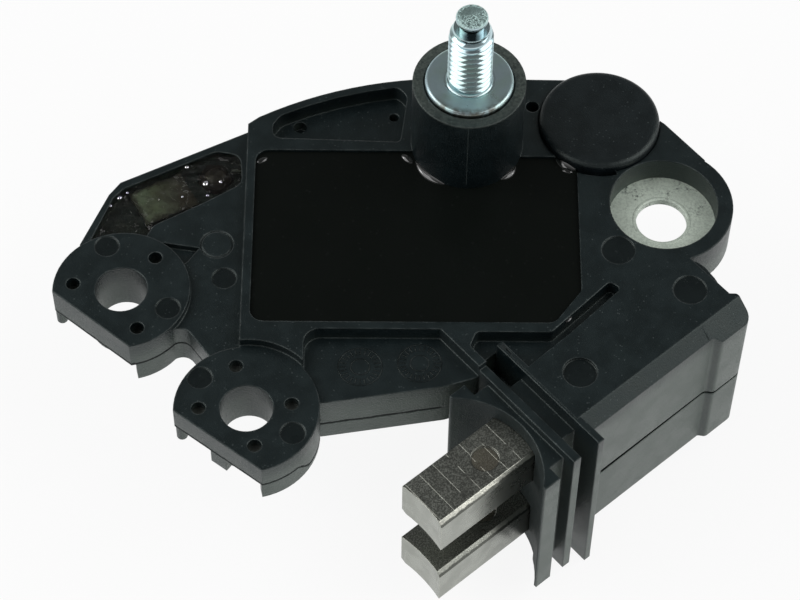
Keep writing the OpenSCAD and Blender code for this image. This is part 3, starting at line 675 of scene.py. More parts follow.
def resin_finish():
    """Dull black resin that is wet and glossy where it climbs its edges."""
    made, tree, shader = new_finish(
        "potting_resin", {"IOR": 1.46, "Specular IOR Level": 0.1, "Coat IOR": 1.9, "Coat Roughness": 0.06}
    )
    where = object_mm(tree)
    waves = where.noise(0.22, 1.0, 0.4)
    dust = effect(tree, "moulded_grain", Vector=where, Grain=5.0, Specks=1.3)["Specks"]
    climbed = made_value(tree, "Attribute", "Fac", attribute_name="rim")
    plug(shader.inputs["Coat Weight"], climbed.ranged(0.02, 0.3))
    shade = (dust * 0.5).blend(colours().resin, linear(26, 28, 27))
    paint(shader, shade, waves.ranged(0.3, 0.7, 0.24, 0.32), waves.bump(0.4, 0.1))
    return made


def gel_finish():
    """Clear gel with a wet surface."""
    made, tree, shader = new_finish(
        "clear_gel", {"IOR": 1.37, "Transmission Weight": 1.0, "Metallic": 0.0}
    )
    where = object_mm(tree)
    cloudy = where.noise(0.5)
    shade = cloudy.ranged(0.35, 0.7).blend(colours().gel, linear(190, 186, 162))
    paint(shader, shade, cloudy.ranged(0.3, 0.7, 0.03, 0.2), where.noise(0.9, 2.0, 0.45).bump(0.9, 0.5))
    return made


def board_finish():
    """Board that shows green at its left through the gel and brown at its right, with blurred edges."""
    made, tree, shader = new_finish("green_ceramic", {})
    where = object_mm(tree)
    broad = where.noise(0.5, 3.0, 0.6)
    own = object_mm(tree, (*BOARD_AT, 0), -math.radians(BOARD_TURN))
    sides = [abs(own[axis]) / half for axis, half in zip("XY", BOARD_HALF)]
    edge = where.noise(1.1, 4.0, 0.7) * 0.5 + sides[0].largest(sides[1])
    shade = layered(
        colours().board,
        ((broad * 7.0 + where["X"]).ranged(4.5, 9.5), linear(58, 54, 46)),
        (where.noise(1.4, 4.0, 0.7).ranged(0.5, 0.62, 0.0, 0.5), linear(58, 60, 50)),
        (edge.ranged(0.98, 1.22, 0.0, 0.9), linear(34, 34, 28)),
    )
    paint(shader, shade, 0.5, broad.bump(0.4, 0.1))
    return made


def bubble_finish():
    """Air bubbles in the gel, silvery with a touch of violet."""
    made, tree, shader = new_finish("air_bubbles", {"Metallic": 1.0})
    patches = object_mm(tree).noise(1.2, 1.0)
    shade = patches.ranged(0.4, 0.6).blend(linear(250, 250, 250), linear(206, 204, 224))
    paint(shader, shade, patches.ranged(0.3, 0.7, 0.08, 0.16))
    return made


def metal_finish(name, colour, roughness, metallic=1.0, density=5.0, marks=0.4, stretch=(1, 1, 1)):
    """Bare or plated metal with patches, scratches and soft edges."""
    made, tree, shader = new_finish(name, {"Metallic": metallic})
    where = object_mm(tree, stretch=stretch)
    edges = effect(tree, "rounded_edges", Radius=0.6 * sizes().edge_radius)
    surface = effect(tree, "moulded_grain", Vector=where, Grain=7.0, Specks=2.5)
    lines = effect(tree, "scratches", Vector=where, Density=density, Amount=marks)["Mask"]
    shade = layered(
        colour,
        (surface["Patches"], tinted(colour, 0.8)),
        (surface["Specks"] * 0.6, tinted(colour, 0.55)),
        (lines, tinted(colour, 1.25)),
    )
    relief = surface["Height"] * 0.4 + lines
    matt = surface["Patches"].ranged(0.0, 1.0, *roughness)
    paint(shader, shade, matt, relief.bump(0.35, 0.02, edges["Normal"]))
    return made


def zinc_finish():
    """Bright bluish zinc plating with faint patches, a stained flange, a rough sawn tip and a painted dark
    reflection across the middle of the tip's neck.
    """
    made, tree, shader = new_finish("zinc_plating", {"Metallic": 1.0})
    where = object_mm(tree, centre=(*STUD_AT, 0))
    surface = effect(tree, "moulded_grain", Vector=where, Grain=6.5, Specks=3.0)
    radius, height = where.away(), where["Z"]
    tip = height.ranged(TIP_TOP - 0.25, TIP_TOP - 0.02)
    nearer = (where["X"] * -0.35 + where["Y"]).ranged(0.7, -0.5, 0.2, 1.0)
    cuts = where.noise(3.6, 2.0, 0.7).ranged(0.46, 0.54) * tip * nearer.largest(radius.ranged(1.1, 1.4))
    # The band of the tip's neck, which is painted dark across its middle.
    neck = height.ranged(TIP_TOP - 2.1, TIP_TOP - 1.9) * height.ranged(TIP_TOP - 0.75, TIP_TOP - 1.1)
    stain = radius.ranged(3.9, 4.8) * where.noise(0.8).ranged(0.36, 0.56) * where["Y"].ranged(-1.5, -4.4)
    flange = radius.ranged(2.7, 2.9)
    shade = layered(
        colours().zinc,
        (where.noise(0.28, 2.0).ranged(0.4, 0.6), linear(196, 222, 216)),
        (surface["Patches"], linear(181, 204, 209)),
        (stain * 0.8, linear(92, 78, 60)),
        (tip * 0.7, linear(158, 186, 182)),
        # painted dark reflection across the middle of the neck
        (neck * abs(where["X"]).ranged(1.25, 0.6) * 0.75, linear(70, 78, 82)),
        (cuts, linear(220, 250, 246)),
    )
    rolled = height.ranged(TIP_TOP - 0.9, TIP_TOP - 0.7)
    matt = surface["Patches"].ranged(0.0, 1.0, 0.13, 0.22) + rolled * 0.2 + flange * 0.14
    relief = surface["Height"] * (flange * 0.3 + 0.14) + cuts * 2.0
    paint(shader, shade, matt, relief.bump(0.6, 0.03))
    return made


def carbon_finish():
    """Sparkling copper graphite with score lines on its top, a stained plug, one bright edge that is partly
    worn and partly painted highlight, and painted shade on its tops, its sides, under the bright edge and
    round the plug.
    """
    made, tree, shader = new_finish("copper_graphite", {"Metallic": 0.92})
    carbon = colours().carbon
    where = object_mm(tree, turn=-HOLDER_TURN)
    edges = effect(tree, "rounded_edges", Radius=0.5 * sizes().edge_radius)
    surface = effect(tree, "moulded_grain", Vector=where, Grain=6.5, Specks=4.0)
    facing = made_value(tree, "NewGeometry", "True Normal")
    tops = facing["Z"].ranged(0.9, 0.98)
    bevel = facing.along(BEVEL_FACING).ranged(0.85, 0.95)
    across = where.noise(1.3, 3.0, 0.6) * 0.3 + where["Y"]
    # A painted shadow line along the foot of the bevelled edge, under its bright band.
    painted_shadow_line = bevel * across.ranged(BRUSH_SIDE + 0.42, BRUSH_SIDE + 0.32)
    worn = bevel - painted_shadow_line
    flats = tops.largest(worn)
    # The lower brush gets a quarter of the bright score and rub marks: painted shade under the upper brush.
    upper = where["Z"].ranged(-6.0, -4.0, 0.25, 1.0)
    phase = (where["X"] + 0.6).maths("PINGPONG", SCORE_STEP / 2)
    broken = where.noise(0.42, 1.0).ranged(0.38, 0.42)
    score = mark_line(phase, 0.0, 0.048) * broken * tops * upper * 0.75
    away = object_mm(tree, centre=holder_point(PLUG_AT, -HOLDER_OFF, 0) / MM).away()
    # A dark ring round the sunk plug: painted shade at the plug's recess.
    groove = mark_line(away, PLUG_R - 0.02, 0.14) * tops
    # Sides painted darker towards the brushes' rear: painted shade.
    painted_side_shade = (1.0 - flats) * where["X"].ranged(12.0, 25.0, 0.0, 0.75)
    # Bright patches on the bevel: partly wear, partly painted highlight.
    rubbed_and_sheen = where.noise(2.2, 3.0, 0.7).ranged(0.36, 0.56, 0.3, 1.0) * worn * upper
    shade = layered(
        carbon,
        (surface["Patches"], tinted(carbon, 0.85)),
        # painted shade: the tops are painted much darker
        (tops * 0.7, tinted(carbon, 0.3)),
        (surface["Height"].ranged(0.42, 0.64) * (flats * 0.85 + 0.08), tinted(carbon, 1.3)),
        (away.ranged(PLUG_R, PLUG_R - 0.2) * tops * 0.45, linear(140, 130, 108)),
        # painted shade: the line under the bright edge, the ring round the plug and the darker sides
        ((painted_shadow_line.largest(groove) * 0.8).largest(painted_side_shade), tinted(carbon, 0.25)),
        # the edges and the bevel: wear and painted highlight; and the bright score lines
        ((edges["Edge"] * 0.5).largest(score, rubbed_and_sheen), linear(226, 226, 214)),
    )
    relief = surface["Height"] * (flats * 0.9 + 0.06) + score
    matt = surface["Patches"].ranged(0.0, 1.0, 0.24, 0.34)
    paint(shader, shade, matt, relief.bump(0.6, 0.03, edges["Normal"]))
    return made


def ring_finish():
    """Tinned sheet with dark scuffs, most of them at the rear, and a rolled rim round its hole."""
    made, tree, shader = new_finish("tinned_ring", {"Metallic": 0.3})
    tin = colours().tin
    where = object_mm(tree, centre=(*BIG_LUG_AT, 0))
    surface = effect(tree, "moulded_grain", Vector=where, Grain=4.5, Specks=2.0)
    blots = where.noise(0.55, 2.0).ranged(0.42, 0.62) * where["Y"].ranged(-0.5, 3.5, 0.25, 1.0)
    shade = layered(
        tin,
        (surface["Patches"], tinted(tin, 0.82)),
        (surface["Height"].ranged(0.4, 0.65, 0.0, 0.35), linear(150, 164, 152)),
        (where.noise(2.6, 4.0, 0.75).ranged(0.5, 0.66) * blots, linear(74, 84, 80)),
    )
    relief = mark_line(where.away(), RING_HOLE_R + 0.22, 0.2) * 2.5 + surface["Height"]
    paint(shader, shade, surface["Patches"].ranged(0.0, 1.0, 0.42, 0.55), relief.bump(0.6, 0.04))
    return made


# Pieces


class REGULATOR_OT_housing(bpy.types.Operator):
    """Make the moulded housing and the marks of its mould"""

    bl_idname = "regulator.housing"
    bl_label = "Housing"

    def execute(self, context):
        finish = plastic_finish("housing_plastic", colours().plastic)
        mesh = merged_copy("housing")
        self.cut_seam(mesh)
        self.pick_marks(mesh)
        make_piece(mesh, "moulded_housing", "holder", finish, ["housing"])
        self.make_dials(finish)
        return {"FINISHED"}

    def cut_seam(self, mesh):
        """The mould's parting line as a groove that runs in and down along the holder's side."""
        width, rise, deep, drop = 0.52, 0.014, 0.8, 1.6
        near = holder_point(SEAM_START, 0, SEAM_LEVEL)
        for lower, slope in ((0.0, 0.0), (width, rise)):
            normal = (-slope * math.cos(HOLDER_TURN), -slope * math.sin(HOLDER_TURN), 1)
            slice_mesh(mesh, near - metres(0, 0, lower), normal)
        strip = []
        for face in mesh.faces:
            u, v, z = Matrix.Rotation(-HOLDER_TURN, 3, "Z") @ face.calc_center_median() / MM
            upright = abs(face.normal.z) < 0.1
            between = SEAM_LEVEL - width - 0.06 < z < SEAM_LEVEL
            if upright and between and v < SIDE_V + 0.01 and u > SEAM_START:
                strip.append(face)
        bmesh.ops.inset_region(mesh, faces=strip, thickness=0.01 * MM, depth=-deep * MM)
        foot = dict.fromkeys(vert for face in strip for vert in face.verts)
        bmesh.ops.translate(mesh, vec=(0, 0, -drop * MM), verts=list(foot))

    def pick_marks(self, mesh):
        """Notes the smooth faces of the ejector marks in an attribute that the finish reads."""
        layer = mesh.faces.layers.float.new("mark")
        for face in mesh.faces:
            for x, y, radius in MARKS:
                if all((v.co.xy - metres(x, y)).length < (radius + 0.02) * MM for v in face.verts):
                    face[layer] = 1.0

    def make_dials(self, finish):
        """Two dial inserts with plain ticks, left in the front tray by the mould."""
        relief = sizes().relief / MM
        low, high = TRAY_FLOOR - 0.05, TRAY_FLOOR + relief
        for number, centre in enumerate(DIALS, 1):
            mesh = bmesh.new()
            layer = mesh.faces.layers.float.new("mark")
            for inner, outer in DIAL_RINGS:
                section = [(inner, low), (inner, high), (outer, high), (outer, low), (inner, low)]
                spin_outline(mesh, section, centre, 64)
            tick = bmesh.ops.create_cube(mesh, size=MM)["verts"]
            place = Matrix.Translation(metres(centre[0] + TICK_AT, centre[1], TRAY_FLOOR))
            bmesh.ops.transform(mesh, matrix=place @ Matrix.Diagonal((*TICK_SIZE, 2 * relief, 1)), verts=tick)
            turn = math.tau * (TICKS - 1) / TICKS
            spin(mesh, with_neighbours(tick), turn, TICKS - 1, centre, use_duplicate=True)
            # Every face of the dials takes the marks' darker, smoother finish; its dark colour is painted
            # shade.
            for face in mesh.faces:
                face[layer] = 1.0
            make_piece(mesh, f"mould_dial_{number}", "holder", finish)


class REGULATOR_OT_resin(bpy.types.Operator):
    """Make the black potting resin and the wet edges where it climbs the boss, the cover and the corners"""

    bl_idname = "regulator.resin"
    bl_label = "Potting resin"

    def execute(self, context):
        mesh = merged_copy("potting_compound")
        layer = mesh.verts.layers.float.new("rim")
        for centre, radius, *angles in CLIMBS:
            self.add_climb(mesh, layer, centre, radius, *(math.radians(angle) for angle in angles))
        for x, y, radius, turn in DROPS:
            at = (x, y, RESIN_TOP - 0.04)
            for vert in add_ball(mesh, at, radius, (1.5, 0.75, 0.42), math.radians(turn)):
                vert[layer] = 1.0
        make_piece(
            mesh, "potting_resin", "holder", resin_finish(), ["potting_compound"], smooth=50
        )
        return {"FINISHED"}

    def add_climb(self, mesh, layer, centre, radius, first, last):
        """A hollow fillet of resin at the foot of a post, between two angles."""
        high = sizes().meniscus / MM
        reach, sunk, bends = 1.1 * high, 0.05, 8
        outline = [(-0.04, -sunk)]
        for bend in range(bends + 1):
            share = bend / bends
            outline.append((reach * share, high * (1 - share) ** 2.2))
        outline.append((reach, -sunk))
        chain = []
        for away, rise in outline:
            flat = Vector(centre) + (radius + away) * Vector((math.cos(first), math.sin(first)))
            chain.append(mesh.verts.new(metres(*flat, RESIN_TOP + rise)))
        old = set(mesh.verts) - set(chain)
        mesh.faces.new(chain)
        steps = max(8, round(math.degrees(last - first) / 3))
        spin(mesh, with_neighbours(chain), last - first, steps, centre)
        for vert in mesh.verts:
            if vert in old:
                continue
            vert[layer] = 1.0
            flat = vert.co.xy / MM - Vector(centre)
            share = (math.atan2(flat.y, flat.x) % math.tau - first) / (last - first)
            taper = math.sin(math.pi * min(0.98, max(0.02, share))) ** 0.7
            vert.co.xy = (Vector(centre) + flat.normalized() * (radius + (flat.length - radius) * taper)) * MM
            rise = vert.co.z / MM - RESIN_TOP
            if rise > 0:
                vert.co.z = (RESIN_TOP + rise * taper) * MM


class REGULATOR_OT_gel(bpy.types.Operator):
    """Make the wavy clear gel and finish what lies in it"""

    bl_idname = "regulator.gel"
    bl_label = "Gel pocket"

    def execute(self, context):
        mesh = merged_copy("pocket_gel")
        low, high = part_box("pocket_gel")
        tops = set(top_faces(mesh, high.z))
        bmesh.ops.delete(mesh, geom=[f for f in mesh.faces if f not in tops], context="FACES")
        grown = Matrix.Diagonal((1.004, 1.004, 1.0, 1))
        middle = Matrix.Translation((low + high) / 2)
        bmesh.ops.transform(mesh, matrix=middle @ grown @ middle.inverted(), verts=mesh.verts)
        for axis, normal in ((0, (1, 0, 0)), (1, (0, 1, 0))):
            steps = int((high[axis] - low[axis]) / (GEL_CELL * MM))
            for step in range(1, steps):
                place = Vector(low)
                place[axis] += (high[axis] - low[axis]) * step / steps
                slice_mesh(mesh, place, normal)
        below = bmesh.ops.extrude_face_region(mesh, geom=mesh.faces[:], use_keep_orig=True)["geom"]
        below = {made for made in below if isinstance(made, bmesh.types.BMVert)}
        for vert in mesh.verts:
            if vert in below:
                vert.co.z = low.z - 0.02 * MM
                continue
            x, y = vert.co.x / MM, vert.co.y / MM
            wave = math.sin(1.1 * x + 0.4 * y) + math.sin(0.7 * y - 0.5 * x + 1.3)
            away = math.hypot(x - BEAD_AT[0] - 1, y - BEAD_AT[1] - 0.6)
            ripple = math.cos(4.2 * away) * math.exp(-0.5 * away)
            vert.co.z += sizes().gel_waves * (0.5 * wave + 0.6 * ripple)
        make_piece(mesh, "clear_gel", "holder", gel_finish(), ["pocket_gel"], smooth=50)
        self.make_bubbles(high.z)
        bead = metal_finish("dark_bead", linear(40, 34, 30), (0.3, 0.45), metallic=0.0, marks=0.1)
        dress_node("pocket_board", board_finish())
        dress_node("pocket_bead", bead)
        return {"FINISHED"}

    def make_bubbles(self, level):
        """Small air bubbles that break the gel's surface."""
        mesh = bmesh.new()
        for number, (x, y, radius) in enumerate(BUBBLES):
            add_ball(mesh, (x, y, level / MM + 0.02), radius, (1.2, 1.0, 0.6), turn=number, detail=2)
        make_piece(mesh, "gel_bubbles", "holder", bubble_finish(), smooth=180)


class REGULATOR_OT_stud(bpy.types.Operator):
    """Make the threaded stud with its flange and plain tip"""

    bl_idname = "regulator.stud"
    bl_label = "Stud"

    def execute(self, context):
        mesh = bmesh.new()
        lower = [
            (0, 3.5), (2.6, 3.5), (2.6, 4.2), (1.9, 4.2), (1.9, 5.0), (2.45, 5.0), (2.45, 8.5), (3.0, 9.0),
            (3.0, 14.0), (2.45, 14.5), (2.45, 17.4), (4.9, 17.4), (4.9, 18.32), (4.87, 18.46),
            (4.8, 18.58), (4.69, 18.66), (4.52, THREAD_LOW), (2.72, THREAD_LOW), (2.6, 18.73),
            (2.52, 18.8), (2.48, 18.9), (2.3, 18.95), (0, 18.95),
        ]
        spin_outline(mesh, lower, STUD_AT)
        tip = [
            (0, 27.3), (1.45, 27.3), (1.45, 28.6), (1.62, 28.75), (1.73, 28.9), (1.75, 29.1),
            (1.73, 29.3), (1.62, 29.44), (1.42, TIP_TOP), (0, TIP_TOP),
        ]
        spin_outline(mesh, tip, STUD_AT, 64)
        self.add_thread(mesh, THREAD_LOW - 0.1, THREAD_TOP + SHOULDER_HIGH)
        make_piece(mesh, "threaded_stud", "holder", zinc_finish(), ["terminal_stud"])
        return {"FINISHED"}

    def add_thread(self, mesh, low, high):
        """A helical thread cut level at both ends, which fades out over the stud's round shoulder."""
        pitch = sizes().thread_pitch / MM
        crest = THREAD_R
        root = crest - sizes().thread_depth / MM
        turns = math.ceil((high - low) / pitch) + 2
        outline = [
            (root, 0.0), (root, 0.12), (crest - 0.04, 0.42), (crest, 0.5), (crest - 0.04, 0.58),
            (root, 0.88), (root, 1.0),
        ]
        old = set(mesh.verts)
        chain = add_chain(mesh, [(r, low + (z - 1.0) * pitch) for r, z in outline], STUD_AT)
        spin(mesh, chain, math.tau * turns, 40 * turns, STUD_AT, advance=pitch * turns)
        bmesh.ops.remove_doubles(mesh, verts=[v for v in mesh.verts if v not in old], dist=MERGE)
        for level, normal in ((low, (0, 0, -1)), (high, (0, 0, 1))):
            thread = [v for v in mesh.verts if v not in old]
            cut = bmesh.ops.bisect_plane(
                mesh,
                geom=with_neighbours(thread),
                dist=MERGE / 10,
                plane_co=(0, 0, level * MM),
                plane_no=normal,
                clear_outer=True,
            )
            ring = [e for e in cut["geom_cut"] if isinstance(e, bmesh.types.BMEdge)]
            bmesh.ops.edgeloop_fill(mesh, edges=ring)
        axis = metres(*STUD_AT)
        for vert in mesh.verts:
            if vert in old:
                continue
            away = vert.co.xy - axis
            allowed = crest * MM - self.shoulder(vert.co.z)
            if away.length > allowed:
                vert.co.xy = axis + away.normalized() * allowed

    def shoulder(self, z):
        """How far the stud's round shoulder has drawn in at a height."""
        share = min(1.0, max(0.0, (z / MM - THREAD_TOP) / SHOULDER_HIGH))
        return 0.5 * MM * share ** 2.4


class REGULATOR_OT_cover(bpy.types.Operator):
    """Make the round cover with its soft rim"""

    bl_idname = "regulator.cover"
    bl_label = "Round cover"

    def execute(self, context):
        mesh = bmesh.new()
        outline = [
            (0, 5.2), (5.6, 5.2), (5.6, 6.1), (6.72, 6.1), (6.8, 6.2), (6.8, 7.75), (6.74, 7.98), (6.6, 8.16),
            (6.38, 8.27), (6.1, 8.3), (5.6, 8.28), (3.0, 8.26), (0, 8.25),
        ]
        spin_outline(mesh, outline, COVER_AT, 128)
        finish = plastic_finish("cover_plastic", colours().cover, 6.0)
        make_piece(mesh, "capacitor_cover", "holder", finish, ["round_cover"], smooth=50)
        return {"FINISHED"}


class REGULATOR_OT_ring(bpy.types.Operator):
    """Finish the ring terminal of the big lug"""

    bl_idname = "regulator.ring"
    bl_label = "Ring terminal"

    def execute(self, context):
        dress_node("ring_terminal", ring_finish())
        return {"FINISHED"}


class REGULATOR_OT_brushes(bpy.types.Operator):
    """Make the two copper graphite brushes"""

    bl_idname = "regulator.brushes"
    bl_label = "Brushes"

    def execute(self, context):
        finish = carbon_finish()
        for side in BRUSH_HEIGHTS:
            mesh = merged_copy("brush_" + side)
            round_edges(mesh, 0.05 * MM, 50)
            self.sink_plug(mesh)
            make_piece(mesh, "carbon_" + side, "brush_" + side, finish, ["brush_" + side])
        return {"FINISHED"}

    def sink_plug(self, mesh):
        """Sinks the top of the plug that holds the lead a little below the brush's top."""
        top = max(vert.co.z for vert in mesh.verts)
        flat = bmesh.ops.dissolve_faces(mesh, faces=top_faces(mesh, top), use_verts=False)["region"]
        rim = dict.fromkeys(edge for face in flat for edge in face.edges)
        bmesh.ops.delete(mesh, geom=flat, context="FACES_ONLY")
        centre = holder_point(PLUG_AT, -HOLDER_OFF, top / MM)
        place = Matrix.Translation(centre)
        made = bmesh.ops.create_circle(mesh, segments=40, radius=PLUG_R * MM, matrix=place)
        ring = dict.fromkeys(edge for vert in made["verts"] for edge in vert.link_edges)
        bmesh.ops.triangle_fill(mesh, edges=list(rim | ring), use_beauty=True)
        wall = bmesh.ops.extrude_edge_only(mesh, edges=list(ring))["geom"]
        foot = [vert for vert in wall if isinstance(vert, bmesh.types.BMVert)]
        bmesh.ops.translate(mesh, vec=(0, 0, -PLUG_SUNK * MM), verts=foot)
        edges = [edge for edge in wall if isinstance(edge, bmesh.types.BMEdge)]
        bmesh.ops.edgeloop_fill(mesh, edges=[edge for edge in edges if set(edge.verts) <= set(foot)])


class REGULATOR_OT_springs(bpy.types.Operator):
    """Make the brush springs, their braided leads and the solder on the tabs"""

    bl_idname = "regulator.springs"
    bl_label = "Springs and leads"

    def execute(self, context):
        steel = metal_finish("spring_wire", colours().steel, (0.25, 0.35), density=9.0)
        strands = metal_finish("copper_strands", colours().copper, (0.3, 0.45), density=12.0, marks=0.3)
        solder = metal_finish("solder", linear(206, 208, 210), (0.18, 0.3), density=3.0, marks=0.2)
        along = holder_point(1 / MM, 0, 0)
        for side, height in BRUSH_HEIGHTS.items():
            coil = self.make_coil(side, height, steel)
            wall = holder_point(REAR_WALL, -HOLDER_OFF, height)
            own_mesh(coil)
            lead = self.make_lead(side, height, strands)
            tab = holder_point(TAB_AT, -HOLDER_OFF, height)
            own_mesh(lead)
            self.make_solder(side, height, solder)
        return {"FINISHED"}

    def make_coil(self, side, height, finish):
        """A round wire coil between the brush and the rear wall."""
        wire, radius, gap = 0.28, 1.9, 0.05
        start = BRUSH_REAR + gap + wire
        reach = REAR_WALL - gap - wire - start
        turns = sizes().spring_turns
        mesh = bmesh.new()
        made = bmesh.ops.create_circle(mesh, segments=10, radius=wire * MM, cap_ends=True)
        place = Matrix.Translation(metres(start, 0, radius)) @ Matrix.Rotation(math.radians(90), 4, "X")
        bmesh.ops.transform(mesh, matrix=place, verts=made["verts"])
        wound = with_neighbours(made["verts"])
        spin(mesh, wound, math.tau * turns, 28 * turns, axis=(1, 0, 0), advance=reach)
        into_holder(mesh, height)
        return make_piece(mesh, "coil_" + side, "holder", finish, ["spring_" + side])

    def make_lead(self, side, height, finish):
        """A lead of six strands laid round a middle one."""
        strand, core, lay = 0.145 * MM, 0.16 * MM, 0.29
        start = BRUSH_REAR - 3.8
        reach = TAB_AT - start
        turns, steps = 4, 80
        level = Matrix.Rotation(math.radians(90), 4, "Y")
        mesh = bmesh.new()
        middle = bmesh.ops.create_cone(
            mesh, cap_ends=True, segments=10, radius1=core, radius2=core, depth=reach * MM
        )["verts"]
        place = Matrix.Translation(metres(start + reach / 2, 0, 0)) @ level
        bmesh.ops.transform(mesh, matrix=place, verts=middle)
        for number in range(6):
            made = bmesh.ops.create_circle(mesh, segments=8, radius=strand, cap_ends=True)["verts"]
            place = Matrix.Rotation(math.tau * number / 6, 4, "X") @ Matrix.Translation(metres(start, 0, lay))
            bmesh.ops.transform(mesh, matrix=place @ level, verts=made)
            wound = with_neighbours(made)
            spin(mesh, wound, math.tau * turns, steps, axis=(1, 0, 0), advance=reach)
        into_holder(mesh, height)
        return make_piece(mesh, "braid_" + side, "holder", finish, ["pigtail_" + side])

    def make_solder(self, side, height, finish):
        """A drop of solder where the lead meets its tab."""
        mesh = bmesh.new()
        add_ball(mesh, (TAB_AT, 0, 0), 0.85, (0.62, 1.0, 0.92))
        into_holder(mesh, height)
        return make_piece(mesh, "solder_" + side, "holder", finish)


class REGULATOR_OT_circuit(bpy.types.Operator):
    """Finish the conductors, the heat sink plate and the circuit in the well"""

    bl_idname = "regulator.circuit"
    bl_label = "Circuit and conductors"

    def execute(self, context):
        # The lug terminals, seen at the bottoms of the pin holes, and the pocket lead get a dark tin: painted
        # shade in the pin holes.
        tin = metal_finish("tinned_sheet", linear(96, 100, 96), (0.35, 0.45), metallic=0.9)
        brass = metal_finish("brass_sheet", colours().brass, (0.3, 0.42))
        wire = metal_finish("tinned_wire", linear(208, 208, 204), (0.25, 0.35), density=9.0)
        plate = metal_finish(
            "rolled_aluminium", colours().aluminium, (0.32, 0.45), density=9.0, stretch=(0.08, 1, 1)
        )
        ceramic = metal_finish("alumina", colours().ceramic, (0.5, 0.65), metallic=0.0, marks=0.1)
        silicon = metal_finish("silicon", linear(74, 78, 88), (0.16, 0.26), metallic=0.6, marks=0.1)
        film = metal_finish("capacitor_film", linear(202, 180, 92), (0.3, 0.42), metallic=0.0, marks=0.2)
        for node in ("left_lug_terminal", "front_lug_terminal"):
            dress_node(node, tin)
        for node in ("brush_terminal_upper", "brush_terminal_lower", "stud_busbar"):
            dress_node(node, brass)
        for node in ("regulator_chip", "power_transistor", "flyback_diode"):
            dress_node(node, silicon)
        dress_node("bond_wires", wire)
        dress_node("pocket_lead", tin)
        dress_node("heat_sink_plate", plate)
        dress_node("ceramic_substrate", ceramic)
        dress_node("suppression_capacitor", film)
        return {"FINISHED"}


# Studio


def floor_finish():
    """Pale floor that shows white, keeps a soft shadow and can't be seen from below."""
    made = bpy.data.materials.new("studio_floor")
    made.use_nodes = True
    tree = made.node_tree
    tree.nodes.clear()
    rays = values_of(tree, add_node(tree, "LightPath"))
    seen = rays["Is Camera Ray"].largest(rays["Is Glossy Ray"], rays["Is Transmission Ray"])
    tone = object_mm(tree).noise(0.02).blend(grey(0.86), grey(0.9))
    matt = made_value(tree, "BsdfDiffuse", 0, {"Color": tone})
    white = made_value(tree, "Emission", 0, {"Color": grey(1.0), "Strength": 1.0})
    shown = made_value(tree, "MixShader", 0, {0: seen * 0.9, 1: matt, 2: white})
    below = made_value(tree, "NewGeometry", "Backfacing")
    clear = made_value(tree, "BsdfTransparent", 0)
    add_node(tree, "OutputMaterial", {0: made_value(tree, "MixShader", 0, {0: below, 1: shown, 2: clear})})
    return made


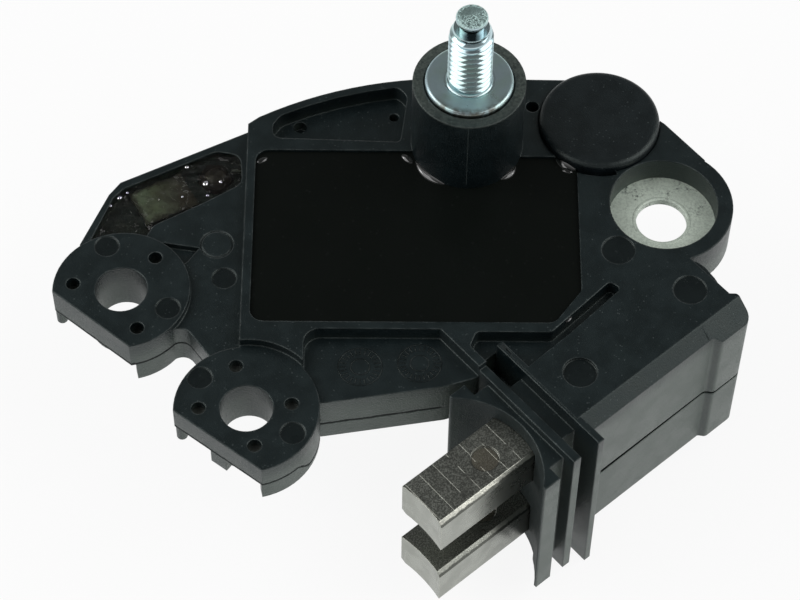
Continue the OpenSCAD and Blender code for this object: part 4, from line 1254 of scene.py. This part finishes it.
class REGULATOR_OT_studio(bpy.types.Operator):
    """Make the floor, the lamps, the world and the camera"""

    bl_idname = "regulator.studio"
    bl_label = "Studio"

    def execute(self, context):
        self.make_floor(context.scene)
        self.make_world(context.scene)
        for lamp in LAMPS:
            self.make_lamp(context.scene, *lamp)
        self.make_camera(context.scene)
        context.scene.view_settings.view_transform = "Standard"
        return {"FINISHED"}

    def make_floor(self, scene):
        """A wide level floor under the lowest point."""
        mesh = bmesh.new()
        bmesh.ops.create_grid(mesh, x_segments=8, y_segments=8, size=6)
        bmesh.ops.translate(mesh, vec=(0, 0, cad_box[0].z - 0.02 * MM), verts=mesh.verts)
        data = bpy.data.meshes.new("floor")
        mesh.to_mesh(data)
        mesh.free()
        floor = bpy.data.objects.new("floor", data)
        scene.collection.objects.link(floor)
        data.materials.append(floor_finish())

    def make_world(self, scene):
        """White to the camera, white low and dim high in reflections, and a soft even light."""
        world = bpy.data.worlds.new("studio_world")
        scene.world = world
        world.use_nodes = True
        tree = world.node_tree
        rays = values_of(tree, add_node(tree, "LightPath"))
        mirrored = rays["Is Glossy Ray"].largest(rays["Is Transmission Ray"])
        dome = add_node(tree, "ValToRGB", {0: made_value(tree, "TexCoord", "Generated")["Z"]})
        levels = dome.color_ramp.elements
        levels[0].color = grey(1.0)
        for place, level in DOME_LEVELS:
            levels.new(place).color = grey(level)
        levels[-1].color = grey(0.1)
        soft = mirrored.blend(grey(0.3), Value(tree, dome.outputs[0]))
        plug(tree.nodes["Background"].inputs["Color"], rays["Is Camera Ray"].blend(soft, grey(1.0)))

    def make_lamp(self, scene, name, at, size, power):
        """A soft square lamp that shines on the object."""
        data = bpy.data.lights.new(name, "AREA")
        data.size = size
        data.energy = power
        lamp = bpy.data.objects.new(name, data)
        scene.collection.objects.link(lamp)
        lamp.location = at
        towards = Vector(LAMPS_TOWARDS) - Vector(at)
        lamp.rotation_euler = towards.to_track_quat("-Z", "Y").to_euler()

    def make_camera(self, scene):
        """The camera at the photograph's viewing angle."""
        data = bpy.data.cameras.new("camera")
        data.sensor_width = 36
        data.lens = CAMERA_LENS
        data.shift_x = 0.00075
        data.clip_start = 0.01
        data.clip_end = 20
        camera = bpy.data.objects.new("camera", data)
        scene.collection.objects.link(camera)
        forward = Vector(CAMERA_FORWARD).normalized()
        right = Vector(CAMERA_RIGHT)
        right = (right - forward * right.dot(forward)).normalized()
        up = right.cross(forward)
        turned = Matrix((right, up, -forward)).transposed().to_4x4()
        camera.matrix_world = Matrix.Translation(CAMERA_AT) @ turned
        scene.camera = camera


class REGULATOR_PT_panel(bpy.types.Panel):
    """The steps that build the regulator, in order"""

    bl_idname = "REGULATOR_PT_panel"
    bl_label = "Voltage regulator"
    bl_space_type = "VIEW_3D"
    bl_region_type = "UI"
    bl_category = "Regulator"

    def draw(self, context):
        column = self.layout.column()
        for step in STEPS:
            column.operator(step.bl_idname)
        for settings in (context.scene.regulator_sizes, context.scene.regulator_colours):
            for name in settings.__annotations__:
                column.prop(settings, name)


STEPS = (
    REGULATOR_OT_housing,
    REGULATOR_OT_resin,
    REGULATOR_OT_gel,
    REGULATOR_OT_stud,
    REGULATOR_OT_cover,
    REGULATOR_OT_ring,
    REGULATOR_OT_brushes,
    REGULATOR_OT_springs,
    REGULATOR_OT_circuit,
    REGULATOR_OT_studio,
)
CLASSES = (RegulatorSizes, RegulatorColours, *STEPS, REGULATOR_PT_panel)


def register():
    for made in CLASSES:
        bpy.utils.register_class(made)
    bpy.types.Scene.regulator_sizes = PointerProperty(type=RegulatorSizes)
    bpy.types.Scene.regulator_colours = PointerProperty(type=RegulatorColours)


def unregister():
    del bpy.types.Scene.regulator_colours
    del bpy.types.Scene.regulator_sizes
    for made in reversed(CLASSES):
        bpy.utils.unregister_class(made)


def main():
    register()
    for step in STEPS:
        group, action = step.bl_idname.split(".")
        getattr(getattr(bpy.ops, group), action)()


if __name__ == "__main__":
    main()
